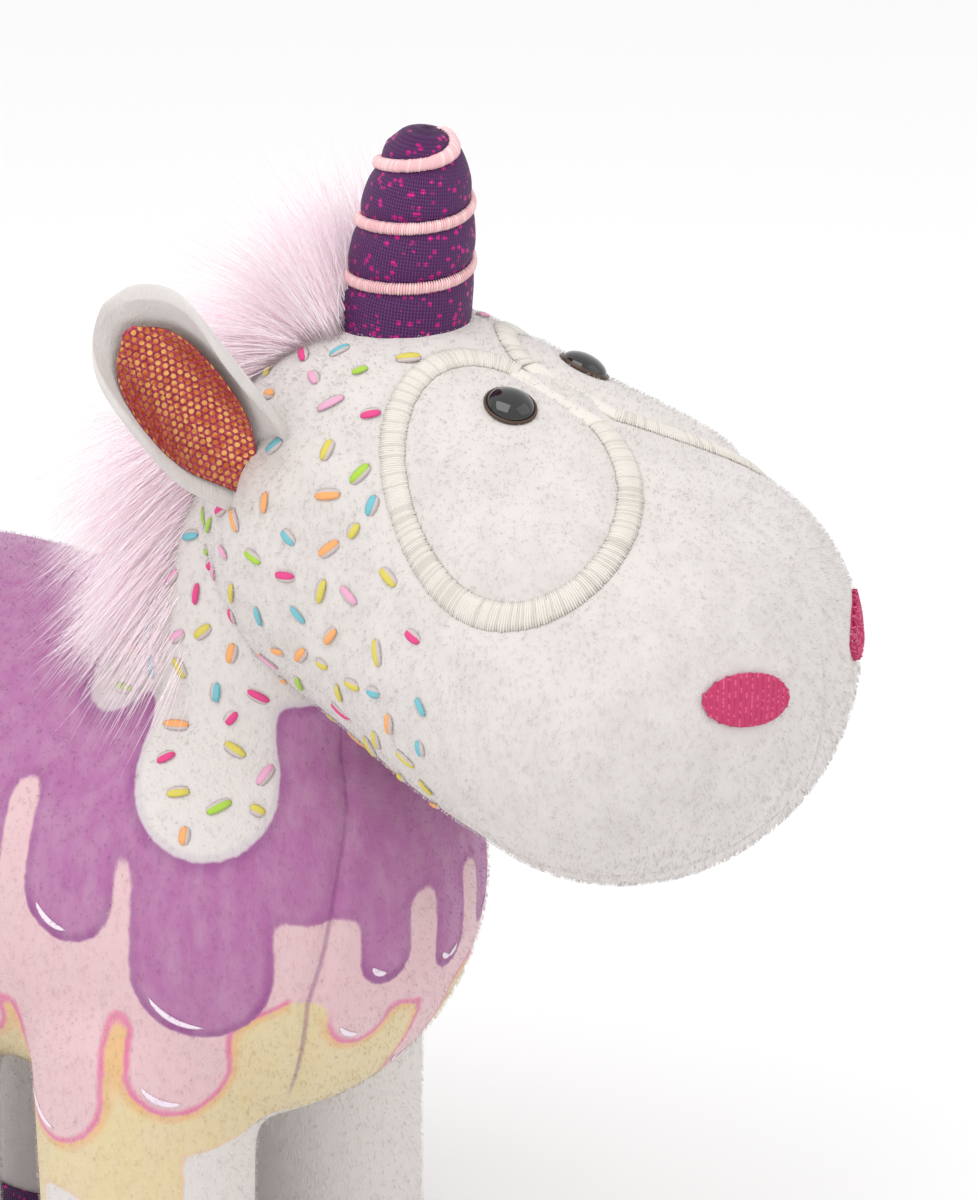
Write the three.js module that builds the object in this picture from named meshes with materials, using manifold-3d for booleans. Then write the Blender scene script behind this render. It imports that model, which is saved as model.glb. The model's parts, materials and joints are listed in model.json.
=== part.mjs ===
// A standing plush unicorn, about 22 cm tall: sewn plush panels over stuffing, an embroidered face,
// a knitted horn, lined ears, long-pile mane and tail, and four legs with covered hooves.
// Millimetres. The toy faces -Y, its left side is +X, and it stands on z = 0.
import * as THREE from "three";
import { mergeVertices } from "three/addons/utils/BufferGeometryUtils.js";
import Module from "manifold-3d";

const wasm = await Module();
wasm.setup();

// ---------- Driving dimensions ----------
const GAP = 0.3; // between pieces that touch
const JOINT_GAP = 0.6; // between pieces that turn past each other
const PLUSH = 1.8; // plush fabric with its laid pile
const OPENING = 14; // radius of the holes that the stuffing runs through

const TORSO = { chest: 44, rump: 43, span: 56, height: 94 }; // chest centre above the floor
const CHEST_SEAM = [[6, 60], [17, 28], [30, -12], [30, -60]]; // half widths at heights
const BELLY = { half: 17, top: -16, from: 0, to: 104 };
const NECK = { base: 26, top: 24, at: [0, -4, 28], end: [0, -17, 62] }; // from the chest centre
const HEAD = { cranium: 36, muzzle: 37, span: 49, droop: 25.5, at: [0, -39, 72] };
const TOP_SEAM = [[14, 50], [12, -49], [5, -90]]; // half widths along the head
const CHIN = { seam: [[13, 8], [15, -49], [7, -90]], top: -19 };

const LEG = { side: 29, hip: 21, drop: 24, shaft: 19.5, ankle: 18.5, foot: 20.6 };
const HOOF = { height: 11, sole: 2, fabric: 1.4 };
const LEG_BOTTOM = LEG.drop - TORSO.height; // the floor, from the hip

const HORN = { toward: [0, 0.068, 0.998], sunk: 3.8, lean: 7.7, length: 36.2, fabric: 1 };
const HORN_SIDE = [[11.2, 0], [10.8, 9], [10.1, 18], [8.6, 27.3], [7.2, 31.8], [4.4, 35.1]];
const HORN_STITCH = { radius: 0.8, rise: 9.8, start: 5.5, turns: 2.7, bends: 14 };

const EAR = { length: 40, cup: 13, fabric: 2.2, lining: 0.8, border: 2.4, root: 5 };
const EAR_SIDE = [[2.6, 0], [4.4, 5.5], [8.8, 13], [11.6, 20], [11, 27], [8.6, 33], [4.8, 38]];
const EAR_WAY = { along: [0.375, 0.425, 0.825], open: [0.755, -0.655, 0] };
const EAR_ROOT = { toward: [0.81, 0.46, 0.37], sunk: 0.4 };

const GOGGLES = { long: 27, wide: 21.2, turn: 34, apart: 35, along: 18.8, stitch: 4.4, patch: 1.2, raised: 1.8 };
const GOGGLES_BRIDGE = { half: 5.6, along: 14.8 }; // the way between the lobes
const EYE = { long: 9.6, wide: 8.2, high: 3.2, along: 12.3, apart: 18, shank: 1.6, shankLength: 9 };
const EYE_STAND = GOGGLES.patch + 2 * GAP + 0.2; // the eye's flat back above the head
const WASHER = { radius: 5.5, top: -(EYE_STAND + PLUSH + 1.2), thick: 1.4 };
const NOSTRIL = { long: 16, wide: 8.6, raised: 0.8 };
const NOSTRIL_WAY = { toward: [0.55, -0.63, 0.55], line: [-0.81, -0.57, 0.15] };

const FORELOCK = { half: 11, depth: 8, from: 112, to: 160 };
const MANE = { top: [0, 8, 66], bottom: [0, 22, 45], radius: 10 };
const TAIL = { up: 34, tab: 5, stub: 15, strap: 3, root: 7.5, end: 12, length: 42, hang: [0, 0.55, -0.83] };

const TRAVEL = {
  neck: [-5, 12],
  head: [-15, 15],
  horn: [-10, 10],
  ear: [-8, 25],
  leg: [-12, 12],
  swing: [-30, 30],
  lift: [0, 50],
};

const ROUND = 18; // sides of the torso, neck and head
const SLIM = 12; // sides of the legs and horn

// ---------- Materials ----------
const look = (color, roughness, metalness = 0) =>
  new THREE.MeshStandardMaterial({ color, roughness, metalness });
const whitePlush = look("#f4f0ee", 0.95);
const printedPlush = look("#b274ba", 0.95);
const creamPlush = look("#efe2ae", 0.95);
const polyesterFibre = look("#fbfbf8", 1);
const hornKnit = look("#54207f", 0.5, 0.3);
const pinkThread = look("#efc4cb", 0.55);
const creamThread = look("#f1ece2", 0.55);
const hotPinkThread = look("#e0417f", 0.5);
const eyeBlack = look("#0c0b0d", 0.08);
const washerPlastic = look("#e9e9e4", 0.5);
const copperSpangle = look("#d98070", 0.35, 0.5);
const palePinkFur = look("#f2d2e2", 0.95);

// ---------- Frames, each from the chest centre ----------
const radians = THREE.MathUtils.degToRad;
const X = new THREE.Vector3(1, 0, 0);
const Z = new THREE.Vector3(0, 0, 1);
const vector = (values) => new THREE.Vector3(...values);
const shifted = (at) => new THREE.Matrix4().makeTranslation(...at);
const rotated = (axis, degrees) => new THREE.Matrix4().makeRotationAxis(axis, radians(degrees));

const TORSO_FRAME = new THREE.Matrix4();
const NECK_FRAME = shifted(NECK.at);
const HEAD_FRAME = shifted(HEAD.at);
const FACE_FRAME = HEAD_FRAME.clone().multiply(rotated(X, HEAD.droop)); // the muzzle lies along its -Y
const onCranium = (toward, sunk) => vector(toward).setLength(HEAD.cranium - sunk);
const HORN_FRAME = HEAD_FRAME.clone()
  .multiply(shifted(onCranium(HORN.toward, HORN.sunk).toArray()))
  .multiply(rotated(X, HORN.lean));

const rump = [0, TORSO.span, 0];
const tailOut = new THREE.Vector3(0, Math.cos(radians(TAIL.up)), Math.sin(radians(TAIL.up)));
const tailRoot = vector(rump).addScaledVector(tailOut, TORSO.rump - 2).toArray();
const tailTip = vector(tailRoot).addScaledVector(tailOut, TAIL.stub).toArray();
const TAB_FRAME = shifted(tailRoot);
const TAIL_FRAME = shifted(tailTip);

const LEGS = [
  ["front_left", LEG.side, 0],
  ["front_right", -LEG.side, 0],
  ["rear_left", LEG.side, TORSO.span],
  ["rear_right", -LEG.side, TORSO.span],
].map(([name, x, y]) => ({ name, at: [x, y, -LEG.drop], frame: shifted([x, y, -LEG.drop]) }));

// ---------- Solids ----------
// A closed geometry as a solid for joining and cutting.
function solid(geometry) {
  const bare = geometry.index ? geometry.toNonIndexed() : geometry.clone();
  bare.deleteAttribute("normal");
  bare.deleteAttribute("uv");
  const merged = mergeVertices(bare, 1e-4);
  const corners = merged.index.array;
  const triangles = [];
  for (let i = 0; i < corners.length; i += 3) {
    const [a, b, c] = corners.subarray(i, i + 3);
    if (a !== b && b !== c && c !== a) triangles.push([a, b, c]);
  }
  const place = (i) => new THREE.Vector3().fromBufferAttribute(merged.attributes.position, i);
  const volume = triangles.reduce((sum, [a, b, c]) => sum + place(a).dot(place(b).cross(place(c))), 0);
  if (volume < 0) triangles.forEach((triangle) => triangle.reverse());
  const triVerts = new Uint32Array(triangles.flat());
  const vertProperties = new Float32Array(merged.attributes.position.array);
  return new wasm.Manifold(new wasm.Mesh({ numProp: 3, vertProperties, triVerts }));
}

// A solid as a named mesh.
function piece(name, made, material) {
  const { numProp, vertProperties, triVerts } = made.getMesh();
  const places = new Float32Array((vertProperties.length / numProp) * 3);
  for (let i = 0; i < places.length / 3; i++) {
    places.set(vertProperties.subarray(i * numProp, i * numProp + 3), i * 3);
  }
  const geometry = new THREE.BufferGeometry();
  geometry.setAttribute("position", new THREE.BufferAttribute(places, 3));
  geometry.setIndex(new THREE.BufferAttribute(triVerts, 1));
  geometry.computeVertexNormals();
  const mesh = new THREE.Mesh(geometry, material);
  mesh.name = name;
  return mesh;
}

const joined = (solids) => solids.reduce((whole, next) => whole.add(next));
const cut = (made, ...tools) => tools.reduce((whole, tool) => whole.subtract(tool), made);

// A geometry made in one frame, as a solid seen from another.
const change = (from, to) => to.clone().invert().multiply(from);
const seen = (geometry, from, to) => solid(geometry.clone().applyMatrix4(change(from, to)));

const limits = (axis, range) => range.map((angle) => rotated(axis, angle));

// The room a turning piece needs in a still one.
const swept = (geometry, frame, to, turns) =>
  joined(turns.map((turn) => seen(geometry, frame.clone().multiply(turn), to)));

// The room a still piece needs in a turning one.
const passed = (geometry, frame, to, turns) =>
  joined(turns.map((turn) => seen(geometry, frame, to.clone().multiply(turn))));

// ---------- Shapes ----------
// An arc of a profile, its angles in degrees from the outward direction.
const arc = (height, radius, from, to, count = 5) =>
  Array.from({ length: count + 1 }, (_, i) => {
    const angle = radians(from + ((to - from) * i) / count);
    return new THREE.Vector2(Math.max(0, radius * Math.cos(angle)), height + radius * Math.sin(angle));
  });

const points = (pairs) => pairs.map(([x, y]) => new THREE.Vector2(x, y));

// A profile of radii and heights turned about +Z.
const turned = (profile, sides) => new THREE.LatheGeometry(profile, sides).rotateX(Math.PI / 2);

// Turns a geometry that stands on the origin along +Z, so that it runs from one point towards another.
function aimed(geometry, from, to) {
  const direction = vector(to).sub(vector(from)).normalize();
  const turn = new THREE.Quaternion().setFromUnitVectors(Z, direction);
  return geometry.applyQuaternion(turn).translate(...from);
}

// Two balls and the cone round them, from one point to another.
function taperedCapsule(low, high, from, to, sides = ROUND) {
  const span = vector(to).distanceTo(vector(from));
  const lean = THREE.MathUtils.radToDeg(Math.asin((low - high) / span));
  return aimed(turned([...arc(0, low, -90, lean), ...arc(span, high, lean, 90)], sides), from, to);
}

const frustum = (low, high, from, to, sides = SLIM) =>
  new THREE.CylinderGeometry(high, low, to - from, sides)
    .rotateX(Math.PI / 2)
    .translate(0, 0, (from + to) / 2);

const ball = (radius, sides = SLIM, count = 8) => turned(arc(0, radius, -90, 90, count), sides);

// The hollow that a faceted ball turns in without touching.
const socket = (radius, sides = SLIM) => ball(radius * 1.06 + 0.2, sides);

function box(low, high) {
  const size = vector(high).sub(vector(low));
  const middle = vector(low).addScaledVector(size, 0.5);
  return new THREE.BoxGeometry(...size.toArray()).translate(...middle.toArray());
}

const rod = (radius, from, to, sides = SLIM) => frustum(radius, radius, from, to, sides);

// A symmetrical outline of half widths, extruded along +Z.
function plate(outline, grow, from, to) {
  const wider = outline.map(([half, place]) => [half + grow, place]);
  const mirrored = wider.toReversed().map(([half, place]) => [-half, place]);
  const shape = new THREE.Shape(points([...wider, ...mirrored]));
  return new THREE.ExtrudeGeometry(shape, { depth: to - from, bevelEnabled: false }).translate(0, 0, from);
}

// The same outline with its places upright, extruded along -Y from y = front to y = back.
const uprightPlate = (outline, grow, front, back) =>
  plate(outline, grow, -back, -front).rotateX(Math.PI / 2);

const ellipse = (long, wide, from, to, sides = 24) =>
  rod(1, from, to, sides).scale(long, wide, 1);

// A frame whose origin is at a point, with +Z outward and +X close to a direction.
function surfaceFrame(at, outward, across) {
  const z = outward.clone().normalize();
  const y = z.clone().cross(across).normalize();
  return new THREE.Matrix4().makeBasis(y.clone().cross(z), y, z).setPosition(at);
}

const torsoShape = (grow) => taperedCapsule(TORSO.chest + grow, TORSO.rump + grow, [0, 0, 0], rump);
const neckEnd = vector(NECK.end).sub(vector(NECK.at)).toArray();
const neckShape = (grow) => taperedCapsule(NECK.base + grow, NECK.top + grow, [0, 0, 0], neckEnd);
const headShape = (grow) =>
  taperedCapsule(HEAD.cranium + grow, HEAD.muzzle + grow, [0, 0, 0], [0, -HEAD.span, 0]);

// What turns inside a neighbour besides a round root: the cones of the neck, head, leg and horn.
const neckCone = () => aimed(frustum(NECK.base + 0.4, NECK.top + 1.6, 0, 30, ROUND), [0, 0, 0], neckEnd);
const headCone = () =>
  aimed(frustum(HEAD.cranium + 0.5, HEAD.muzzle + 0.5, 0, HEAD.span, ROUND), [0, 0, 0], [0, -1, 0]);
const legCone = () => frustum(LEG.shaft + 1.8, LEG.hip * 0.966 + 1.4, cuff + 8, 0);
const hornCone = () => frustum(HORN_SIDE[0][0] + 0.3, HORN_SIDE[0][0] + 0.3, 0, 16);

// The side of a leg from its cuff to the top of its hip.
const cuff = LEG_BOTTOM + HOOF.height + GAP;
const legSide = (grow, bottom = cuff) => [
  new THREE.Vector2(LEG.ankle + grow, bottom),
  new THREE.Vector2(LEG.shaft + grow, cuff + 18),
  ...arc(0, LEG.hip + grow, -15, 90),
];

// The horn, from the bottom of its round root to its blunt tip.
const hornSide = (grow, from = -90) => [
  ...arc(0, HORN_SIDE[0][0] + grow, from, -12, 4),
  ...points(HORN_SIDE.map(([radius, height]) => [radius + grow, height])),
  new THREE.Vector2(0, HORN.length + grow),
];
const hornShape = (grow) => turned(hornSide(grow), SLIM);

// The ear blade: an outline cut from a cupped sheet that opens towards -Y.
function earBlade(inner, outer, border) {
  const outline = EAR_SIDE.map(([half, height]) => [Math.max(half - border, 0.6), height]);
  const shorter = outline.map(([half, height]) => [half, 1 + height * (1 - border / EAR.length)]);
  const sheet = (radius) => seen(rod(radius, -1, EAR.length, 24), shifted([0, -EAR.cup, 0]), TORSO_FRAME);
  const leaf = solid(uprightPlate(border ? shorter.slice(1) : outline, 0, -EAR.cup * 0.75, 4));
  return sheet(outer).subtract(sheet(inner)).intersect(leaf);
}

function forelockShape(grow) {
  const reach = HEAD.cranium + 2;
  const path = new THREE.CatmullRomCurve3(
    [0, 1, 2, 3, 4].map((i) => {
      const angle = radians(FORELOCK.from + ((FORELOCK.to - FORELOCK.from) * i) / 4 - 20);
      return new THREE.Vector3(0, -reach * Math.cos(angle), reach * Math.sin(angle));
    }),
  );
  const section = new THREE.Shape(
    new THREE.EllipseCurve(0, 0, FORELOCK.depth + grow, FORELOCK.half + grow).getPoints(14).slice(0, 14),
  );
  return new THREE.ExtrudeGeometry(section, { steps: 10, extrudePath: path, bevelEnabled: false });
}

const maneEnds = [MANE.top, MANE.bottom].map((at) => vector(at).sub(vector(NECK.at)).toArray());
const maneShape = (grow) => taperedCapsule(MANE.radius + grow, MANE.radius - 1 + grow, ...maneEnds, SLIM);

// ---------- Groups ----------
// A group at a frame of the chest centre's space, inside a parent whose frame is given.
function groupAt(frame, parentFrame, ...children) {
  const group = new THREE.Group();
  group.applyMatrix4(change(frame, parentFrame));
  group.add(...children);
  return group;
}

const hipSockets = () => LEGS.map(({ frame }) =>
  swept(legCone(), frame, TORSO_FRAME, limits(X, TRAVEL.leg))
    .add(seen(socket(LEG.hip), frame, TORSO_FRAME)));

// Four panels and the stuffing of the body.
function torso() {
  const neckSocket = swept(neckCone(), NECK_FRAME, TORSO_FRAME, limits(X, TRAVEL.neck))
    .add(seen(socket(NECK.base, ROUND), NECK_FRAME, TORSO_FRAME));
  const tailSocket = seen(socket(TAIL.tab, 12), TAB_FRAME, TORSO_FRAME);
  const sockets = joined([neckSocket, tailSocket, ...hipSockets()]);
  const hollows = LEGS.map(({ frame }) => seen(ball(LEG.hip + 6.6), frame, TORSO_FRAME));
  const filling = cut(solid(torsoShape(-PLUSH - GAP)), neckSocket, tailSocket, ...hollows);
  const shell = cut(solid(torsoShape(0)), solid(torsoShape(-PLUSH)), sockets);
  const chestPlate = (grow) => solid(uprightPlate(CHEST_SEAM, grow, -80, grow));
  const bellyPlate = (grow) =>
    solid(box([-BELLY.half - grow, GAP - grow, -80], [BELLY.half + grow, BELLY.to, BELLY.top + grow]));
  const sides = cut(shell, chestPlate(GAP), bellyPlate(GAP));
  const half = (side) => solid(box([0.15, -80, -80], [80, 120, 80]).scale(side, 1, 1));
  return [
    piece("torso_side_left", sides.intersect(half(1)), printedPlush),
    piece("torso_side_right", sides.intersect(half(-1)), printedPlush),
    piece("chest_panel", shell.intersect(chestPlate(0)), printedPlush),
    piece("belly_panel", shell.intersect(bellyPlate(0)), creamPlush),
    piece("torso_stuffing", filling, polyesterFibre),
  ];
}

// Two panels and the stuffing of the neck, hollowed for the back of the head.
function neck() {
  const cone = headCone().applyMatrix4(change(FACE_FRAME, HEAD_FRAME));
  const hollow = swept(cone, HEAD_FRAME, NECK_FRAME, limits(Z, TRAVEL.head))
    .add(seen(socket(HEAD.cranium, ROUND), HEAD_FRAME, NECK_FRAME));
  const opening = solid(taperedCapsule(OPENING, OPENING, [0, 0, -40], [0, 0, 0], SLIM));
  const shell = cut(solid(neckShape(0)), solid(neckShape(-PLUSH)), hollow, opening);
  const half = (side) => solid(box([0.15, -60, -60], [60, 60, 80]).scale(side, 1, 1));
  return [
    piece("neck_panel_left", shell.intersect(half(1)), whitePlush),
    piece("neck_panel_right", shell.intersect(half(-1)), whitePlush),
    piece("neck_stuffing", cut(solid(neckShape(-PLUSH - GAP)), hollow), polyesterFibre),
    piece("mane", mane(hollow), palePinkFur),
  ];
}

function mane(headSocket) {
  const turns = TRAVEL.head.map((angle) => rotated(Z, angle));
  const forelock = swept(forelockShape(JOINT_GAP), HEAD_FRAME, NECK_FRAME, [...turns, TORSO_FRAME]);
  const body = passed(torsoShape(JOINT_GAP), TORSO_FRAME, NECK_FRAME, limits(X, TRAVEL.neck));
  return cut(solid(maneShape(0)), solid(neckShape(GAP)), headSocket, forelock, body);
}

// Both lobes of the eye patch and the bridge between them, as prisms across the top of the head.
function goggles(shrink) {
  const half = GOGGLES_BRIDGE.half + GOGGLES.stitch - shrink;
  const bridge = solid(box([-9, -GOGGLES_BRIDGE.along - half, 8], [9, half - GOGGLES_BRIDGE.along, 60]));
  const [across, ahead] = [Math.sin(radians(GOGGLES.turn)), Math.cos(radians(GOGGLES.turn))];
  const lobes = [-1, 1].map((side) => {
    const [rise, lean] = [Math.cos(radians(GOGGLES.apart)), Math.sin(radians(GOGGLES.apart))];
    const outward = new THREE.Vector3(side * lean, 0, rise);
    const line = new THREE.Vector3(side * across * rise, -ahead, -across * lean);
    const frame = surfaceFrame(new THREE.Vector3(0, -GOGGLES.along, 0), outward, line);
    return solid(ellipse(GOGGLES.long - shrink, GOGGLES.wide - shrink, 8, 60).applyMatrix4(frame));
  });
  return joined(shrink ? [bridge, ...lobes] : lobes);
}

const headLayer = (from, to) => cut(solid(headShape(to)), solid(headShape(from)));

// Where an eye's centre lies: its flat back rests on the patch.
function eyeFrame(side) {
  const angle = radians(EYE.apart);
  const slope = (HEAD.muzzle - HEAD.cranium) / HEAD.span;
  const outward = new THREE.Vector3(side * Math.sin(angle), slope, Math.cos(angle)).normalize();
  const at = new THREE.Vector3(0, -EYE.along, 0);
  at.addScaledVector(outward, HEAD.cranium + slope * EYE.along + EYE_STAND);
  return surfaceFrame(at, outward, new THREE.Vector3(0, -1, 0));
}

function eye(side, name) {
  const dome = turned([new THREE.Vector2(0, 0), ...arc(0, 1, 0, 90, 4)], 16);
  dome.scale(EYE.long / 2, EYE.wide / 2, EYE.high);
  const whole = solid(dome).add(solid(rod(EYE.shank, -EYE.shankLength, 0.4, 8)));
  const { radius, top, thick } = WASHER;
  const washer = cut(solid(rod(radius, top - thick, top)), solid(rod(EYE.shank + 2 * GAP, -20, 5, 8)));
  const parts = [piece(`eye_${name}`, whole, eyeBlack), piece(`eye_washer_${name}`, washer, washerPlastic)];
  parts.forEach((part) => part.applyMatrix4(eyeFrame(side)));
  return parts;
}

const eyeHole = (side) => solid(rod(EYE.shank + 2 * GAP, -30, 30, 8).applyMatrix4(eyeFrame(side)));
const washerRoom = (side) => {
  const low = WASHER.top - WASHER.thick - GAP;
  const room = rod(WASHER.radius + GAP, low, 10).applyMatrix4(eyeFrame(side));
  const tip = rod(EYE.shank + 2 * GAP, -EYE.shankLength - GAP, 10, 8).applyMatrix4(eyeFrame(side));
  return solid(room).add(solid(tip));
};

// A pointed oval of satin stitches beside the muzzle.
function nostril(side, name) {
  const outward = vector(NOSTRIL_WAY.toward).multiply(new THREE.Vector3(side, 1, 1));
  const line = vector(NOSTRIL_WAY.line).multiply(new THREE.Vector3(side, 1, 1));
  const frame = surfaceFrame(new THREE.Vector3(0, -HEAD.span, 0), outward, line);
  const { long, wide, raised } = NOSTRIL;
  const shape = new THREE.Shape();
  shape.moveTo(long / 2, 0);
  shape.quadraticCurveTo(long / 6, wide * 0.55, -long / 5, wide / 2);
  shape.bezierCurveTo(-long * 0.56, wide * 0.42, -long * 0.56, -wide * 0.42, -long / 5, -wide / 2);
  shape.quadraticCurveTo(long / 6, -wide * 0.55, long / 2, 0);
  const prism = new THREE.ExtrudeGeometry(shape, { depth: 30, bevelEnabled: false, curveSegments: 7 });
  const outline = solid(prism.translate(0, 0, 20).applyMatrix4(frame));
  return piece(`nostril_${name}`, headLayer(GAP, GAP + raised).intersect(outline), hotPinkThread);
}

// Where an ear stands on the head: +Z along its blade, opening towards -Y.
function earFrame(side) {
  const mirror = new THREE.Vector3(side, 1, 1);
  const z = vector(EAR_WAY.along).multiply(mirror).normalize();
  const y = vector(EAR_WAY.open).multiply(mirror).normalize().negate();
  const at = onCranium(EAR_ROOT.toward, EAR_ROOT.sunk).multiply(mirror);
  return HEAD_FRAME.clone().multiply(surfaceFrame(at, z, y.clone().cross(z)));
}

// Panels, stuffing and embroidery of the head.
function face() {
  const hornRoom = swept(hornCone(), HORN_FRAME, FACE_FRAME, limits(X, TRAVEL.horn))
    .add(seen(socket(HORN_SIDE[0][0]), HORN_FRAME, FACE_FRAME));
  const earRooms = [-1, 1].map((side) => seen(socket(EAR.root + 1, 12), earFrame(side), FACE_FRAME));
  const rooms = joined([hornRoom, ...earRooms]);
  const down = vector(NECK.end).sub(vector(HEAD.at)).toArray();
  const opening = seen(taperedCapsule(OPENING, OPENING, [0, 0, 0], down, SLIM), HEAD_FRAME, FACE_FRAME);
  const mouth = seen(
    taperedCapsule(OPENING, OPENING, down, vector(down).multiplyScalar(2).toArray(), SLIM),
    HEAD_FRAME,
    FACE_FRAME,
  );
  const shell = cut(headLayer(-PLUSH, 0), rooms, opening, mouth, eyeHole(-1), eyeHole(1));
  const top = (grow) => solid(plate(TOP_SEAM, grow, GAP - grow, 80));
  const chin = (grow) => solid(plate(CHIN.seam, grow, -80, CHIN.top + grow));
  const sides = cut(shell, top(GAP), chin(GAP));
  const half = (side) => solid(box([0.15, -120, -80], [80, 80, 80]).scale(side, 1, 1));
  const holes = eyeHole(-1).add(eyeHole(1));
  const stitch = headLayer(GAP, GAP + GOGGLES.raised).intersect(goggles(0)).subtract(goggles(GOGGLES.stitch));
  const field = headLayer(GAP, GAP + GOGGLES.patch).intersect(goggles(GOGGLES.stitch + GAP));
  const filling = solid(headShape(-PLUSH - GAP));
  return [
    piece("head_side_left", sides.intersect(half(1)), whitePlush),
    piece("head_side_right", sides.intersect(half(-1)), whitePlush),
    piece("head_top_panel", shell.intersect(top(0)), whitePlush),
    piece("chin_panel", shell.intersect(chin(0)), whitePlush),
    piece("head_stuffing", cut(filling, rooms, washerRoom(-1), washerRoom(1)), polyesterFibre),
    piece("eye_patch", field.subtract(holes), whitePlush),
    piece("eye_patch_border", stitch, creamThread),
    ...eye(1, "left"),
    ...eye(-1, "right"),
    nostril(1, "left"),
    nostril(-1, "right"),
  ];
}

function forelock() {
  const horn = swept(frustum(HORN_SIDE[0][0] + 3.4, HORN_SIDE[0][0] + 3, 0, 30), HORN_FRAME, HEAD_FRAME,
    limits(X, TRAVEL.horn));
  return piece("forelock", cut(solid(forelockShape(0)), seen(headShape(GAP), FACE_FRAME, HEAD_FRAME), horn),
    palePinkFur);
}

// Knitted cover, stuffing and the spiral stitched round them.
function horn() {
  const shrunk = hornSide(-HORN.fabric, -62).toReversed();
  const cover = turned([...hornSide(0, -62), ...shrunk, hornSide(0, -62)[0]], SLIM);
  const filling = turned(hornSide(-HORN.fabric - GAP), SLIM);
  const { radius, rise, start, turns, bends } = HORN_STITCH;
  const count = Math.round(turns * bends);
  const path = new THREE.CatmullRomCurve3(
    Array.from({ length: count + 1 }, (_, i) => {
      const height = start + (rise * turns * i) / count;
      const next = HORN_SIDE.findIndex((entry) => entry[1] > height);
      const [low, high] = [HORN_SIDE[next - 1], HORN_SIDE[next]];
      const share = (height - low[1]) / (high[1] - low[1]);
      const reach = THREE.MathUtils.lerp(low[0], high[0], share) + GAP + 1.5 * radius;
      const angle = (2 * Math.PI * i) / bends;
      return new THREE.Vector3(reach * Math.cos(angle), reach * Math.sin(angle), height);
    }),
  );
  const circle = new THREE.Shape(new THREE.EllipseCurve(0, 0, radius, radius).getPoints(6).slice(0, 6));
  const thread = new THREE.ExtrudeGeometry(circle, { steps: count, extrudePath: path, bevelEnabled: false });
  return [
    piece("horn_cover", solid(cover), hornKnit),
    piece("horn_stuffing", solid(filling), polyesterFibre),
    piece("horn_spiral_stitch", solid(thread), pinkThread),
  ];
}

function ear(name) {
  const back = earBlade(EAR.cup, EAR.cup + EAR.fabric, 0).add(solid(ball(EAR.root, 12, 8)));
  const lining = earBlade(EAR.cup - GAP - EAR.lining, EAR.cup - GAP, EAR.border);
  return [
    piece(`ear_${name}`, back, whitePlush),
    piece(`ear_lining_${name}`, cut(lining, solid(ball(EAR.root + 2 * GAP, 12, 8))), copperSpangle),
  ];
}

// A fabric tab sewn into the back seam and the fur that hangs from it.
function tail() {
  const stub = tailOut.clone().multiplyScalar(TAIL.stub).toArray();
  const tab = taperedCapsule(TAIL.strap, TAIL.strap + 0.8, [0, 0, 0], stub, 10);
  const roomyTab = aimed(frustum(TAIL.strap + 0.8, TAIL.strap + 1.6, 0, TAIL.stub, 10), [0, 0, 0], stub);
  const end = vector(TAIL.hang).normalize().multiplyScalar(TAIL.length).toArray();
  const fur = taperedCapsule(TAIL.root, TAIL.end, [0, 0, 0], end, SLIM);
  const between = [...TRAVEL.lift, 10, 30].map((angle) => rotated(X, angle));
  const room = passed(roomyTab, TAB_FRAME, TAIL_FRAME, between).add(solid(socket(TAIL.strap + 0.8, 10)));
  return groupAt(
    TAB_FRAME,
    TORSO_FRAME,
    piece("tail_tab", solid(ball(TAIL.tab, 12)).add(solid(tab)), palePinkFur),
    groupAt(TAIL_FRAME, TAB_FRAME, piece("tail_fur", cut(solid(fur), room), palePinkFur)),
  );
}

function leg(name) {
  const skin = turned([...legSide(0), ...legSide(-PLUSH).toReversed(), legSide(0)[0]], SLIM);
  const bottom = LEG_BOTTOM + HOOF.sole + GAP;
  const top = LEG_BOTTOM + HOOF.height;
  const inset = HOOF.fabric;
  const cover = points([
    [LEG.foot, bottom],
    [LEG.foot + 0.4, bottom + 5],
    [LEG.ankle + 0.8, top],
    [LEG.ankle + 0.8 - inset, top],
    [LEG.foot + 0.4 - inset, bottom + 5],
    [LEG.foot - inset, bottom],
    [LEG.foot, bottom],
  ]);
  const lower = points([[0, bottom], [LEG.foot - inset - GAP, bottom], [LEG.ankle - PLUSH - GAP, top - 1]]);
  const filling = [...lower, ...legSide(-PLUSH - GAP)];
  return [
    piece(`leg_${name}`, solid(skin), whitePlush),
    piece(`leg_stuffing_${name}`, solid(turned(filling, SLIM)), polyesterFibre),
    piece(`hoof_${name}`, solid(turned(cover, SLIM)), hornKnit),
    piece(`sole_${name}`, solid(rod(LEG.foot, LEG_BOTTOM, LEG_BOTTOM + HOOF.sole)), hornKnit),
  ];
}

// ---------- Assembly ----------
const ears = [["left", 1], ["right", -1]].map(([name, side]) =>
  groupAt(earFrame(side), HEAD_FRAME, ...ear(name)));
const head = groupAt(
  HEAD_FRAME,
  NECK_FRAME,
  groupAt(FACE_FRAME, HEAD_FRAME, ...face()),
  forelock(),
  groupAt(HORN_FRAME, HEAD_FRAME, ...horn()),
  ...ears,
);
const body = groupAt(
  TORSO_FRAME,
  TORSO_FRAME,
  ...torso(),
  groupAt(NECK_FRAME, TORSO_FRAME, ...neck(), head),
  tail(),
  ...LEGS.map(({ name, frame }) => groupAt(frame, TORSO_FRAME, ...leg(name))),
);

const unicorn = new THREE.Group();
unicorn.add(body);

// The origin is the middle of the whole toy's footprint, on the floor.
const bounds = new THREE.Box3().setFromObject(unicorn, true);
const middle = bounds.getCenter(new THREE.Vector3());
body.position.set(-middle.x, -middle.y, -bounds.min.z);

export default unicorn;
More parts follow.
